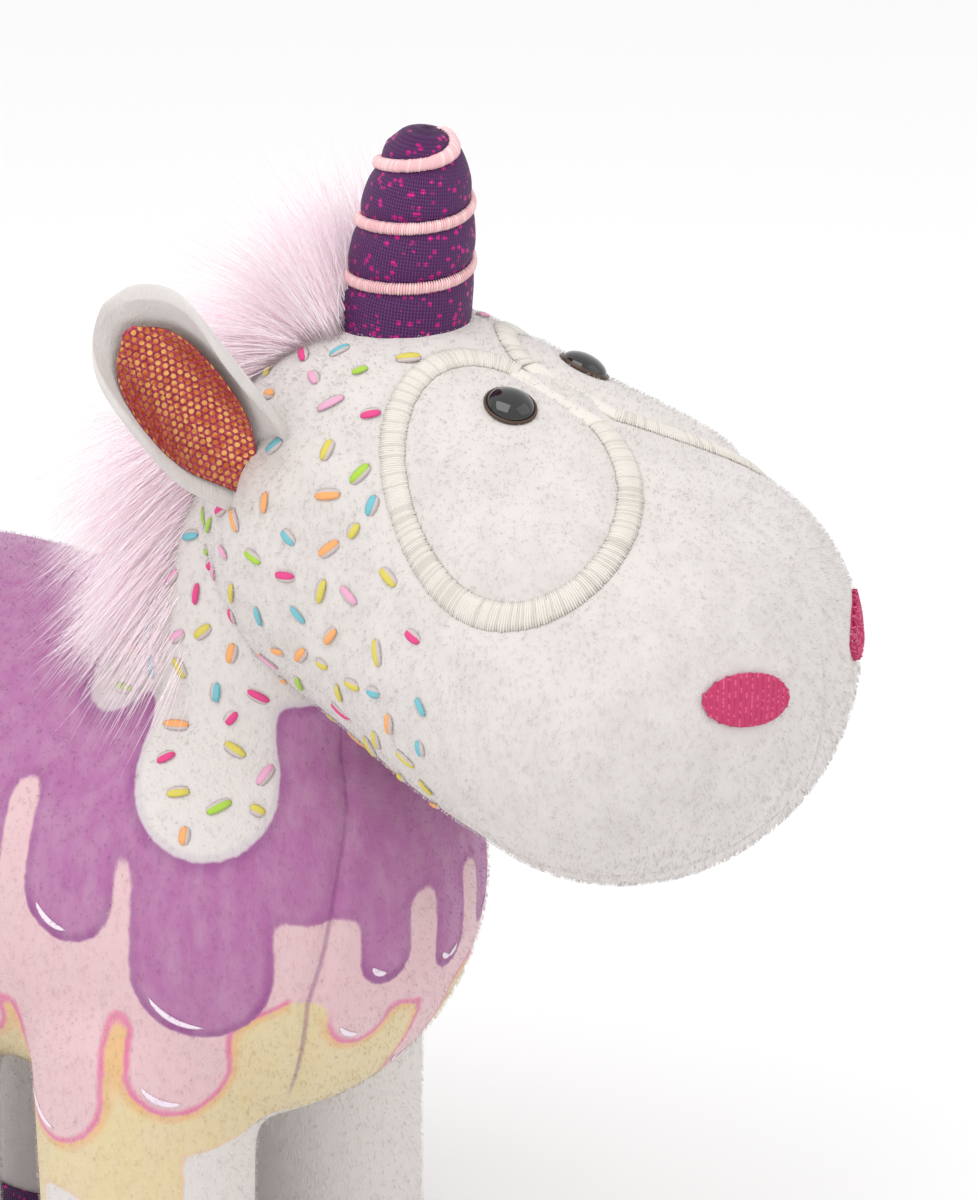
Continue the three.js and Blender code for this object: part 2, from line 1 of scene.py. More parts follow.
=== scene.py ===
# A standing plush unicorn: stuffed skins, fur, embroidery, horn, ears, eyes and hooves over its frame.
import json
import math

import bmesh
import bpy
import numpy as np
from mathutils import Matrix, Vector
from mathutils.bvhtree import BVHTree
from mathutils.kdtree import KDTree


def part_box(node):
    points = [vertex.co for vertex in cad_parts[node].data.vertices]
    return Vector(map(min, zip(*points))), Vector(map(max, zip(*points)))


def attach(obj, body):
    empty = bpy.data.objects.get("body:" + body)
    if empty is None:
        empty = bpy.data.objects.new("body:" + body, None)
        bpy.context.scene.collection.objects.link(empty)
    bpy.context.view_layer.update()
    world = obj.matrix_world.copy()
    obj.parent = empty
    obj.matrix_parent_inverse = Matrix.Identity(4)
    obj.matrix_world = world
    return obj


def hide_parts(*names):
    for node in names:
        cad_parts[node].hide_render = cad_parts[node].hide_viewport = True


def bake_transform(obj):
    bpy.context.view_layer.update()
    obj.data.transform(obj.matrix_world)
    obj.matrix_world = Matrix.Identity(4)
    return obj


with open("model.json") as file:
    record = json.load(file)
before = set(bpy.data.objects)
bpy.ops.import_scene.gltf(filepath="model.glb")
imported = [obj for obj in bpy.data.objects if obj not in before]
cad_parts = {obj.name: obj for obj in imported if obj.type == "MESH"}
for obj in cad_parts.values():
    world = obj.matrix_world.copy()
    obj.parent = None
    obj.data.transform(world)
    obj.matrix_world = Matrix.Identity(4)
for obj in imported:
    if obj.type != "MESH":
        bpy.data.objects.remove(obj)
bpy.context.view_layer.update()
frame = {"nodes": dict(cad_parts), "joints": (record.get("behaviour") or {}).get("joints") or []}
MM = 0.001

# ---------- Places, from the frame's joints ----------
pivots = {j["name"]: Vector(j["pos_m"]) for j in frame["joints"]}
CRANIUM = pivots["head_turn"]
NECK_ROOT = pivots["neck_nod"]
CHEST = NECK_ROOT + Vector((0, 4, -28)) * MM
RUMP = CHEST + Vector((0, 56, 0)) * MM
NECK_TOP = CHEST + Vector((0, -17, 62)) * MM
HIPS = {
    name[: -len("_leg_swing")]: at for name, at in pivots.items() if name.endswith("_leg_swing")
}
DROOP = math.radians(25.5)
FACE = Matrix.Translation(CRANIUM) @ Matrix.Rotation(DROOP, 4, "X")  # the muzzle lies along its -Y
CRANIUM_R = 36 * MM


# ---------- Mesh helpers ----------
def finished(name, bm, material=None, smooth=True):
    """Writes a bmesh into a new object whose place is in its mesh."""
    bmesh.ops.recalc_face_normals(bm, faces=bm.faces)
    mesh = bpy.data.meshes.new(name)
    bm.to_mesh(mesh)
    bm.free()
    mesh.polygons.foreach_set("use_smooth", [smooth] * len(mesh.polygons))
    piece = bpy.data.objects.new(name, mesh)
    bpy.context.scene.collection.objects.link(piece)
    if material:
        mesh.materials.append(material)
    return piece


def applied(piece):
    """Makes a piece's modifiers part of its mesh."""
    mesh = bpy.data.meshes.new_from_object(
        piece.evaluated_get(bpy.context.evaluated_depsgraph_get())
    )
    piece.modifiers.clear()
    old, piece.data = piece.data, mesh
    bpy.data.meshes.remove(old)
    return piece


def places(piece):
    """The places of a piece's vertices, one to a row."""
    found = np.empty(len(piece.data.vertices) * 3)
    piece.data.vertices.foreach_get("co", found)
    return found.reshape(-1, 3)


def vertex_normals(piece):
    normals = np.empty(len(piece.data.vertices) * 3)
    piece.data.vertices.foreach_get("normal", normals)
    return normals.reshape(-1, 3)


def marked(piece, name, values):
    """Stores a number or a vector for each vertex."""
    values = np.asarray(values, dtype=float)
    kind = "FLOAT" if values.ndim == 1 else "FLOAT_VECTOR"
    layer = piece.data.attributes.new(name, kind, "POINT")
    layer.data.foreach_set("value" if values.ndim == 1 else "vector", values.reshape(-1))


def profile_turned(bm, profile, axis_matrix, steps=48):
    """Spins a profile of radii and heights about a frame's Z."""
    verts = [bm.verts.new(axis_matrix @ Vector((radius, 0, height))) for radius, height in profile]
    edges = [bm.edges.new(pair) for pair in zip(verts, verts[1:])]
    bmesh.ops.spin(
        bm,
        geom=verts + edges,
        cent=axis_matrix.translation,
        axis=axis_matrix.to_3x3() @ Vector((0, 0, 1)),
        angle=math.tau,
        steps=steps,
        use_merge=True,
    )
    bmesh.ops.remove_doubles(bm, verts=bm.verts, dist=1e-6)


def capsule_profile(low, high, span, count=12):
    lean = math.asin((low - high) / span)
    angles = [-math.pi / 2 + (lean + math.pi / 2) * i / count for i in range(count + 1)]
    tops = [lean + (math.pi / 2 - lean) * i / count for i in range(count + 1)]
    lower = [(max(0.0, low * math.cos(a)), low * math.sin(a)) for a in angles]
    upper = [(max(0.0, high * math.cos(a)), span + high * math.sin(a)) for a in tops]
    straight = max(2, round(span / (low * 0.13)))
    between = [
        tuple(np.array(lower[-1]) + (np.array(upper[0]) - np.array(lower[-1])) * i / straight)
        for i in range(1, straight)
    ]
    return lower + between + upper


def aimed(start, end):
    """A frame at start whose Z points to end."""
    z = (end - start).normalized()
    x = Vector((1, 0, 0)) if abs(z.x) < 0.9 else Vector((0, 1, 0))
    y = z.cross(x).normalized()
    x = y.cross(z)
    turn = Matrix((x, y, z)).transposed().to_4x4()
    return Matrix.Translation(start) @ turn


def capsule(bm, low, high, start, end, steps=48):
    profile_turned(bm, capsule_profile(low, high, (end - start).length), aimed(start, end), steps)


# ---------- Camera ----------
AZIMUTH, ELEVATION = math.radians(-60), math.radians(20)
LENS, DISTANCE = 141, 0.843
AIM_RIGHT, AIM_UP = 46.2, 46.5  # from the chest's centre, across and up the view
back = Vector((
    math.sin(AZIMUTH) * math.cos(ELEVATION),
    -math.cos(AZIMUTH) * math.cos(ELEVATION),
    math.sin(ELEVATION),
))
right = Vector((math.cos(AZIMUTH), math.sin(AZIMUTH), 0))
up = right.cross(-back)
camera_data = bpy.data.cameras.new("camera")
camera_data.lens = LENS
camera_data.clip_start = 0.05
camera = bpy.data.objects.new("camera", camera_data)
bpy.context.scene.collection.objects.link(camera)
aim = CHEST + right * AIM_RIGHT * MM + up * AIM_UP * MM
camera.matrix_world = Matrix.Translation(aim + back * DISTANCE) @ Matrix(
    (right, up, back)
).transposed().to_4x4()
bpy.context.scene.camera = camera


# ---------- Looks ----------
def shade(red, green, blue):
    """A linear colour from the 0 to 255 values a paint chart gives."""
    return tuple((part / 255) ** 2.2 for part in (red, green, blue)) + (1.0,)


WHITE = shade(208, 202, 199)
CREAM = shade(216, 211, 203)
PURPLE = shade(165, 102, 150)
DEEP_PURPLE = shade(132, 66, 124)
PINK = shade(211, 176, 181)
MAGENTA = shade(208, 100, 144)
ORANGE = shade(214, 166, 114)
YELLOW = shade(209, 191, 149)
LILAC_SHADE = shade(186, 172, 184)


class Value:
    """One shader socket, which can be added, multiplied and compared."""

    def __init__(self, look, socket):
        self.look = look
        self.socket = socket

    def maths(self, operation, *others):
        values = dict(enumerate((self, *others)))
        return self.look.node("ShaderNodeMath", {"operation": operation}, values)

    def __add__(self, other):
        return self.maths("ADD", other)

    def __sub__(self, other):
        return self.maths("SUBTRACT", other)

    def __mul__(self, other):
        return self.maths("MULTIPLY", other)

    def __neg__(self):
        return self.maths("MULTIPLY", -1.0)

    def __rsub__(self, other):
        return (-self) + other

    __radd__ = __add__
    __rmul__ = __mul__

    def between(self, low, high):
        """0 below low, 1 above high, smooth in between."""
        settings = {"interpolation_type": "SMOOTHSTEP"}
        return self.look.node("ShaderNodeMapRange", settings, {0: self, 1: low, 2: high})


class Look:
    """A procedural material, made node by node."""

    def __init__(self, name, **constants):
        self.material = bpy.data.materials.new(name)
        self.material.use_nodes = True
        self.tree = self.material.node_tree
        self.shader = self.tree.nodes["Principled BSDF"]
        for name, value in constants.items():
            self.shader.inputs[name.replace("_", " ")].default_value = value

    def node(self, kind, settings=None, values=None, output=0):
        made = self.tree.nodes.new(kind)
        for name, value in (settings or {}).items():
            setattr(made, name, value)
        for name, value in (values or {}).items():
            self.put(made.inputs[name], value)
        return Value(self, made.outputs[output])

    def put(self, socket, value):
        if isinstance(value, Value):
            self.tree.links.new(value.socket, socket)
        else:
            socket.default_value = value

    def give(self, name, value):
        self.put(self.shader.inputs[name], value)
        return self

    def mix(self, factor, low, high):
        values = {0: factor, 6: low, 7: high}
        return self.node("ShaderNodeMix", {"data_type": "RGBA"}, values, output=2)

    def attribute(self, name, output=2):
        return self.node("ShaderNodeAttribute", {"attribute_name": name}, output=output)

    def place(self):
        return self.node("ShaderNodeTexCoord", output=3)

    def noise(self, place, scale, detail=2.0, stretch=(1, 1, 1)):
        stretched = self.node(
            "ShaderNodeVectorMath", {"operation": "MULTIPLY"}, {0: place, 1: stretch}
        )
        return self.node(
            "ShaderNodeTexNoise", {}, {"Vector": stretched, "Scale": scale, "Detail": detail}
        )

    def bump(self, height, distance, strength=1.0):
        values = {"Height": height, "Distance": distance, "Strength": strength}
        return self.give("Normal", self.node("ShaderNodeBump", {}, values))


def plain(name, colour, roughness, **constants):
    return Look(name, Base_Color=colour, Roughness=roughness, **constants).material


def pile_bump(look, place):
    """The short pile: fine fibres over broader tufts."""
    fibres = look.noise(place, 2600, 2.0, (1, 1, 0.35))
    tufts = look.noise(place, 420, 2.0)
    return look.bump(fibres * 0.6 + tufts, 0.0005, 0.55)


def white_plush():
    look = Look("white_plush", Roughness=0.95, Sheen_Weight=0.25, Sheen_Roughness=0.5)
    place = look.place()
    mottle = look.noise(place, 160, 3.0).between(0.35, 0.7)
    look.give("Base Color", look.mix(mottle, WHITE, shade(202, 196, 193)))
    return pile_bump(look, place).material


def printed_plush():
    """Icing over purple over pink over cream, from signed distances in millimetres."""
    look = Look("printed_plush", Roughness=0.95, Sheen_Weight=0.25, Sheen_Roughness=0.5)
    place = look.attribute("rest", output=1)
    waver = (look.noise(place, 500, 2.0) - 0.5) * 0.7
    icing = look.attribute("icing") + waver
    purple = look.attribute("purple") + waver
    pink = look.attribute("pink") + waver
    yellow = look.attribute("yellow") + waver
    seam = look.attribute("seam") + waver * 0.4
    colour = look.mix(yellow.between(-0.4, 0.4), WHITE, YELLOW)
    rim = yellow.between(-0.7, -0.1) * (0 - yellow).between(-0.5, 0.1)
    colour = look.mix(rim * 0.5, colour, ORANGE)
    low = look.attribute("low")
    halo = pink.between(-2.2, -0.6) * (1 - pink.between(-0.4, 0.3)) * low
    colour = look.mix(halo * 0.8, colour, ORANGE)
    colour = look.mix(pink.between(-0.4, 0.4), colour, PINK)
    rim = pink.between(-0.5, 0.1) * (1 - pink.between(0.3, 1.3)) * low
    colour = look.mix(rim * 0.85, colour, MAGENTA)
    colour = look.mix(purple.between(-0.4, 0.4), colour, PURPLE)
    rim = purple.between(-0.3, 0.3) * (1 - purple.between(0.6, 2.2))
    colour = look.mix(rim * (low * 0.45 + 0.25), colour, DEEP_PURPLE)
    shadow = icing.between(-3.0, -0.3) * (1 - icing.between(-0.3, 0.3))
    colour = look.mix(shadow * 0.6, colour, DEEP_PURPLE)
    colour = look.mix(icing.between(-0.4, 0.4), colour, WHITE)
    rim = icing.between(-0.2, 0.3) * (1 - icing.between(0.5, 1.8))
    colour = look.mix(rim * 0.5, colour, LILAC_SHADE)
    line = (1 - seam.maths("ABSOLUTE").between(0.15, 0.7)) * look.attribute("sewn")
    colour = look.mix(line * 0.5, colour, shade(132, 66, 124))
    mottle = look.noise(place, 300, 3.0, (1, 1, 0.4)).between(0.3, 0.75)
    colour = look.mix(mottle * 0.14, colour, WHITE)
    look.give("Base Color", colour)
    return pile_bump(look, place).material


def glitter_knit(name, wales):
    """Purple knit with upright wales, painted shade in the grooves between them, and scattered metallic
    flecks.
    """
    look = Look(name)
    place = look.place()
    turn = look.attribute("turn", output=1)
    across = look.node("ShaderNodeSeparateXYZ", {}, {0: turn}, 0)
    ahead = look.node("ShaderNodeSeparateXYZ", {}, {0: turn}, 1)
    height = look.node("ShaderNodeSeparateXYZ", {}, {0: turn}, 2)
    wale = (ahead.maths("ARCTAN2", across) * wales).maths("SINE")
    course = (height * 11.0 + wale).maths("SINE")
    flecks = look.node(
        "ShaderNodeTexVoronoi", {"feature": "F1"}, {"Vector": place, "Scale": 900.0, "Randomness": 1.0}
    )
    tint = look.node(
        "ShaderNodeTexVoronoi", {"feature": "F1"}, {"Vector": place, "Scale": 900.0, "Randomness": 1.0}, 1
    )
    chosen = look.node("ShaderNodeSeparateColor", {}, {0: tint})
    fleck = (1 - flecks.between(0.25, 0.5)) * chosen.between(0.62, 0.66)
    # painted shade: the knit is darker in the grooves between its wales and lighter on their ridges,
    # following the bump's wave
    thread = look.mix(wale.between(-0.6, 0.9), shade(54, 12, 66), shade(96, 28, 102))
    look.give("Base Color", look.mix(fleck, thread, shade(196, 40, 130)))
    look.give("Metallic", fleck * 0.8)
    look.give("Roughness", 0.6 - fleck * 0.3)
    return look.bump(wale * 0.6 + course * 0.4, 0.00012, 0.9).material


def spangled_net():
    """Round copper foil dots in rows on a pink net."""
    look = Look("spangled_net", Roughness=0.4)
    column = look.attribute("column")
    row = look.attribute("row")
    shifted = column + row.maths("FLOOR").maths("MODULO", 2.0) * 0.5
    across = shifted.maths("FRACT") - 0.5
    down = row.maths("FRACT") - 0.5
    far = (across * across + down * down * 0.8).maths("SQRT")
    dot = 1 - far.between(0.33, 0.4)
    glint = look.noise(look.place(), 700, 1.0)
    foil = look.mix(glint.between(0.35, 0.62), shade(190, 100, 56), shade(224, 168, 100))
    mesh = look.noise(look.place(), 2400, 1.0).between(0.4, 0.6)
    net = look.mix(mesh, shade(132, 34, 60), shade(184, 72, 90))
    look.give("Base Color", look.mix(dot, net, foil))
    look.give("Metallic", dot * 0.85)
    look.give("Roughness", 0.75 - dot * 0.45)
    return look.bump(dot, 0.00015, 0.8).material


printed = printed_plush()
white = white_plush()
horn_knit = glitter_knit("horn_knit", 125.0)
hoof_knit = glitter_knit("hoof_knit", 240.0)
net = spangled_net()
fibre = plain("polyester_fibre", shade(248, 248, 245), 1.0)
washer = plain("washer_plastic", shade(235, 235, 230), 0.5)
eye_gloss = plain("eye_gloss", (0.004, 0.004, 0.005, 1), 0.06, Coat_Weight=0.6, Coat_Roughness=0.02)
eye_edge = plain("eye_edge", shade(72, 52, 40), 0.3)
cream_thread = plain("cream_thread", CREAM, 0.45, Sheen_Weight=0.2)
cream_shade = plain("cream_thread_shade", shade(204, 198, 190), 0.6)
hot_pink_thread = plain("hot_pink_thread", shade(186, 46, 96), 0.5)
hot_pink_light = plain("hot_pink_thread_light", shade(214, 88, 130), 0.5)
pale_pink_thread = plain("pale_pink_thread", shade(232, 184, 188), 0.45)
pale_pink_light = plain("pale_pink_thread_light", shade(240, 204, 204), 0.4)
FUR_GLOW = shade(255, 234, 243)  # stands for light passing through the fine fibres
fur_colours = [
    plain("pink_fur_" + name, shade(*tone), 0.75, Emission_Color=FUR_GLOW, Emission_Strength=0.1)
    for name, tone in (("root", (246, 220, 231)), ("middle", (250, 233, 240)), ("tip", (253, 246, 249)))
]
sprinkle_colours = [
    plain("sprinkle_lime", shade(160, 196, 74), 0.9),
    plain("sprinkle_magenta", shade(214, 72, 130), 0.9),
    plain("sprinkle_mauve", shade(218, 160, 188), 0.9),
    plain("sprinkle_orange", shade(230, 162, 104), 0.9),
    plain("sprinkle_olive", shade(204, 190, 90), 0.9),
    plain("sprinkle_teal", shade(112, 178, 190), 0.9),
]
sprinkle_shadow = plain("sprinkle_shadow", shade(192, 180, 178), 0.95)
print_shine = plain("print_shine", shade(228, 214, 226), 0.8)


# ---------- Strands: fur, pile, threads and sprinkles ----------
def strands(name, paths, radii, materials, slots=0, sides=3, flat=1.0, face=None):
    """Closed tapered strands along paths of K points, with a point at each end."""
    count, points, _ = paths.shape
    ways = np.gradient(paths, axis=1)
    ways /= np.linalg.norm(ways, axis=2, keepdims=True) + 1e-12
    if face is None:
        face = np.broadcast_to(np.array([0.31, 0.87, 0.39]), (count, 3))
    side = np.cross(ways, face[:, None, :] if face.ndim == 2 else face)
    side /= np.linalg.norm(side, axis=2, keepdims=True) + 1e-12
    high = np.cross(side, ways)
    inner = points - 2
    angles = np.arange(sides) * math.tau / sides
    ring = (
        side[:, 1:-1, None, :] * np.cos(angles)[None, None, :, None]
        + high[:, 1:-1, None, :] * np.sin(angles)[None, None, :, None] * flat
    )
    radii = np.broadcast_to(np.asarray(radii, dtype=float), (count, inner))
    rings = paths[:, 1:-1, None, :] + ring * radii[:, :, None, None]
    verts = np.concatenate([paths[:, :1], rings.reshape(count, inner * sides, 3), paths[:, -1:]], axis=1)
    each = inner * sides + 2
    faces = []
    for k in range(sides):
        n = (k + 1) % sides
        faces.append((0, 1 + n, 1 + k))
        for i in range(inner - 1):
            a, b = 1 + i * sides + k, 1 + i * sides + n
            faces += [(a, b, b + sides), (a, b + sides, a + sides)]
        last = 1 + (inner - 1) * sides
        faces.append((last + k, last + n, each - 1))
    faces = np.array(faces)
    corners = (faces[None] + (np.arange(count) * each)[:, None, None]).reshape(-1, 3)
    mesh = bpy.data.meshes.new(name)
    mesh.vertices.add(count * each)
    mesh.vertices.foreach_set("co", verts.reshape(-1))
    mesh.loops.add(len(corners) * 3)
    mesh.loops.foreach_set("vertex_index", corners.reshape(-1).astype(np.int32))
    mesh.polygons.add(len(corners))
    mesh.polygons.foreach_set("loop_start", np.arange(0, len(corners) * 3, 3, dtype=np.int32))
    slots = np.broadcast_to(np.asarray(slots, dtype=np.int32), (count,))
    mesh.polygons.foreach_set("material_index", np.repeat(slots, len(faces)))
    mesh.update(calc_edges=True)
    mesh.polygons.foreach_set("use_smooth", np.ones(len(corners), dtype=bool))
    for material in materials:
        mesh.materials.append(material)
    piece = bpy.data.objects.new(name, mesh)
    bpy.context.scene.collection.objects.link(piece)
    return piece


def eased(values, low, high):
    t = np.clip((values - low) / (high - low), 0, 1)
    return t * t * (3 - 2 * t)


# ---------- Head ----------
HEAD_WIDEN, HEAD_CROWN = 0.31, 0.11
MUZZLE_R, HEAD_SPAN = 33.6 * MM, 48.6 * MM
FACE_IN = FACE.inverted()


def head_points(local):
    """Widens the muzzle end of a round head form; local is in the face's frame."""
    t = eased(-local[:, 1] / MM, 0, 40)
    local[:, 0] *= 1 + HEAD_WIDEN * t
    local[:, 2] *= 1 + np.where(local[:, 2] > 0, HEAD_CROWN, -0.01) * t
    return local


def head_form(steps):
    bm = bmesh.new()
    capsule(bm, CRANIUM_R, MUZZLE_R, Vector((0, 0, 0)), Vector((0, -HEAD_SPAN, 0)), steps)
    local = head_points(np.array([v.co[:] for v in bm.verts]))
    for vert, place in zip(bm.verts, local):
        vert.co = FACE @ Vector(place)
    return bm


# How far the seams and the stitched ring pull the plush in, and how far the ring's inside swells.
RING_DIP, FIELD_PUFF, TOP_SEAM_DIP, SIDE_SEAM_DIP = 0.9, 0.9, 0.45, 0.5
SIDE_SEAM_AT = 78  # around the head from its top, in millimetres
# The goggles' outline in millimetres on the head: along it, and around it from the middle.
GOGGLES = {"along": 19.4, "around": 21.9, "long": 25.4, "wide": 18.6, "turn": math.radians(35.4)}
GIRTH = 36.0
BRIDGE = {"along": 14.8, "half": 8.6, "around": 6}  # where the two lobes run into each other
RING = {"half": 2.2, "crown": 1.0, "thread": 0.28, "pitch": 0.35, "clear": 2.4}
RING_OPEN = {"around": 3.4, "from": 6.5, "to": 23.5}  # no stitches where the lobes meet


def goggles_frame(along, around):
    """Where a place on the head lies in the goggles' own frame, as a share of their outline."""
    c, s = math.cos(GOGGLES["turn"]), math.sin(GOGGLES["turn"])
    a, b = along - GOGGLES["along"], np.abs(around) - GOGGLES["around"]
    p, q = a * c + b * s, b * c - a * s
    share = np.sqrt((p / GOGGLES["long"]) ** 2 + (q / GOGGLES["wide"]) ** 2) + 1e-9
    return share, (share - 1) * np.sqrt(p * p + q * q) / share


def head_marks(points):
    """Along, around, in millimetres, of points in the world."""
    local = (np.c_[points, np.ones(len(points))] @ np.array(FACE_IN).T)[:, :3] / MM
    return -local[:, 1], np.degrees(np.arctan2(local[:, 0], local[:, 2])) * math.pi / 180 * GIRTH


def goggles_away(along, around):
    """Signed distance from the stitched ring, open between the lobes; negative inside the field."""
    away = goggles_frame(along, around)[1]
    bridge = np.maximum(
        np.abs(along - BRIDGE["along"]) - BRIDGE["half"], np.abs(around) - BRIDGE["around"]
    )
    return np.minimum(away, bridge)


def make_head():
    bm = head_form(224)
    bmesh.ops.subdivide_edges(bm, edges=[e for e in bm.edges if e.calc_length() > 1.4 * MM], cuts=1)
    bmesh.ops.triangulate(bm, faces=[f for f in bm.faces if len(f.verts) > 4])
    piece = finished("head_skin", bm, white)
    points = places(piece)
    along, around = head_marks(points)
    away = goggles_away(along, around)
    axis = np.clip(along, 0, HEAD_SPAN / MM)
    local = np.c_[np.zeros(len(points)), -axis * MM, np.zeros(len(points)), np.ones(len(points))]
    centre = (local @ np.array(FACE).T)[:, :3]
    out = points - centre
    out /= np.linalg.norm(out, axis=1, keepdims=True) + 1e-12
    lift = -RING_DIP * np.exp(-((away / 2.6) ** 2)) + FIELD_PUFF * eased(-away, 2.0, 8.0)
    middle = np.exp(-((around / 1.6) ** 2)) * eased(along, -6, 2)
    lift -= TOP_SEAM_DIP * middle * (away > RING["clear"])
    side_seam = np.exp(-(((np.abs(around) - SIDE_SEAM_AT) / 1.4) ** 2)) * eased(along, 2, 12)
    lift -= SIDE_SEAM_DIP * side_seam
    points += out * (lift * MM)[:, None]
    piece.data.vertices.foreach_set("co", points.reshape(-1))
    return piece


head_skin = make_head()
head_tree = BVHTree.FromPolygons(
    [v.co[:] for v in head_skin.data.vertices], [p.vertices[:] for p in head_skin.data.polygons]
)


def on_head(along, around):
    """A point on the head's skin and its outward direction."""
    angle = around / GIRTH
    start = FACE @ Vector((0, -along * MM, 0))
    way = FACE.to_3x3() @ Vector((math.sin(angle), 0, math.cos(angle)))
    hit, normal, _, _ = head_tree.ray_cast(start, way)
    return hit, normal if normal.dot(way) > 0 else -normal


# ---------- Floor and light ----------
floor_mesh = bpy.data.meshes.new("floor")
bm = bmesh.new()
bmesh.ops.create_grid(bm, x_segments=1, y_segments=1, size=6)
bm.to_mesh(floor_mesh)
bm.free()
floor = bpy.data.objects.new("floor", floor_mesh)
bpy.context.scene.collection.objects.link(floor)
floor_mesh.materials.append(plain("pale_floor", (0.9, 0.9, 0.9, 1), 0.9))

world = bpy.data.worlds.new("studio")
world.use_nodes = True
world.node_tree.nodes["Background"].inputs["Color"].default_value = (1, 1, 1, 1)
world.node_tree.nodes["Background"].inputs["Strength"].default_value = 1.0
bpy.context.scene.world = world
bpy.context.scene.view_settings.view_transform = "Standard"


def softbox(name, azimuth, elevation, distance, size, power):
    data = bpy.data.lights.new(name, "AREA")
    data.size = size
    data.energy = power
    lamp = bpy.data.objects.new(name, data)
    bpy.context.scene.collection.objects.link(lamp)
    a, e = math.radians(azimuth), math.radians(elevation)
    way = Vector((math.sin(a) * math.cos(e), -math.cos(a) * math.cos(e), math.sin(e)))
    centre = CHEST + Vector((0, 0, 0.04))
    lamp.matrix_world = aimed(centre + way * distance, centre + way * distance * 2)


softbox("key_light", -95, 55, 0.9, 0.7, 3.6)
softbox("front_light", 10, 35, 1.1, 0.9, 1.4)


# ---------- Goggles, eyes and nostrils ----------
def mirrored(piece, name):
    """A copy of a right-hand piece for the left side."""
    bm = bmesh.new()
    bm.from_mesh(piece.data)
    bmesh.ops.scale(bm, vec=(-1, 1, 1), verts=bm.verts)
    bmesh.ops.reverse_faces(bm, faces=bm.faces)
    mesh = piece.data.copy()
    mesh.name = name
    bm.to_mesh(mesh)
    bm.free()
    copy = bpy.data.objects.new(name, mesh)
    bpy.context.scene.collection.objects.link(copy)
    return copy


def ring_places(step):
    """Places along a lobe's outline, with the outward direction there, in millimetres on the head."""
    c, s = math.cos(GOGGLES["turn"]), math.sin(GOGGLES["turn"])
    found, last = [], None
    for k in range(3600):
        angle = math.tau * k / 3600
        p, q = GOGGLES["long"] * math.cos(angle), GOGGLES["wide"] * math.sin(angle)
        m, n = math.cos(angle) / GOGGLES["long"], math.sin(angle) / GOGGLES["wide"]
        size = math.hypot(m, n)
        m, n = m / size, n / size
        along, around = GOGGLES["along"] + p * c - q * s, GOGGLES["around"] + p * s + q * c
        if last is None or math.hypot(along - last[0], around - last[1]) >= step:
            last = (along, around)
            met = around < RING_OPEN["around"] and RING_OPEN["from"] < along < RING_OPEN["to"]
            if not met:
                found.append((along, around, m * c - n * s, m * s + n * c))
    return found


def satin_band(name, crossings, half, crown, radius, materials, rng):
    """Threads laid side by side across a band; each crossing gives points and directions at offsets."""
    share = np.array([-1.04, -0.92, -0.55, 0, 0.55, 0.92, 1.04])
    rise = crown * np.array([-0.3, 0.3, 0.85, 1, 0.85, 0.3, -0.3])
    paths, faces = [], []
    for crossing in crossings:
        reach = half * rng.uniform(0.94, 1.05)
        spots = [crossing(reach * part) for part in share]
        paths.append([hit + out * lift * MM for (hit, out), lift in zip(spots, rise)])
        faces.append(spots[3][1])
    slots = (rng.random(len(paths)) < 0.3).astype(int)
    radii = radius * MM * np.array([0.8, 1, 1, 1, 0.8])
    return strands(name, np.array(paths), radii, materials, slots, 4, 0.8, np.array(faces))


def make_ring(side, name):
    rng = np.random.default_rng(41 + side)
    crossings = []
    for along, around, m, n in ring_places(RING["pitch"]):
        crossings.append(
            lambda off, a=along, b=around, m=m, n=n: on_head(a + m * off, side * (b + n * off))
        )
    looks = [cream_thread, cream_shade]
    threads = satin_band(name, crossings, RING["half"], RING["crown"], RING["thread"], looks, rng)
    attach(threads, "head")
    path = [on_head(a, side * b) for a, b, _, _ in ring_places(1.6)]
    line = np.array([[hit + out * 0.1 * MM for hit, out in path]])
    faces = np.array([[out[:] for _, out in path]])
    under = strands(name + "_padding", line, 2.0 * MM, [cream_thread], 0, 12, 0.36, faces)
    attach(under, "head")
    return threads


def surface_frame(point, out, line):
    z = out.normalized()
    y = z.cross(line).normalized()
    turn = Matrix((y.cross(z), y, z)).transposed().to_4x4()
    return Matrix.Translation(point) @ turn


EYE = {"along": 11.6, "around": 12.2, "long": 4.15, "wide": 3.75, "high": 2.3}
EYE_RIM = {"radius": 4.35, "squash": 0.9, "thick": 0.3, "high": 0.4, "lift": 0.25}


def make_eye(side, name):
    point, out = on_head(EYE["along"], side * EYE["around"])
    ahead, _ = on_head(EYE["along"] + 2, side * EYE["around"])
    stand = surface_frame(point, out, ahead - point)
    squashed = Matrix.Diagonal((1.0, EYE_RIM["squash"], 1.0, 1))
    bm = bmesh.new()
    bmesh.ops.create_uvsphere(bm, u_segments=48, v_segments=32, radius=1)
    size = Matrix.Diagonal((EYE["long"] * MM, EYE["wide"] * MM, EYE["high"] * MM, 1))
    bm.transform(stand @ Matrix.Translation((0, 0, 0.2 * MM)) @ size)
    ball = finished("eye_ball_" + name, bm, eye_gloss)
    bm = bmesh.new()
    section = [
        (
            EYE_RIM["radius"] * MM + EYE_RIM["thick"] * MM * math.cos(a),
            EYE_RIM["lift"] * MM + EYE_RIM["high"] * MM * math.sin(a),
        )
        for a in np.linspace(0, math.tau, 11)
    ]
    profile_turned(bm, section, Matrix.Identity(4), 48)
    bm.transform(stand @ squashed)
    rim = finished("eye_rim_" + name, bm, eye_edge)
    for piece in (ball, rim):
        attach(piece, "head")
    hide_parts("eye_" + name)


NOSTRIL = {"long": 9.2, "wide": 4.3, "at": (20.3, -23.5, 20.4), "line": (-16.9, -8.2, 0.2)}


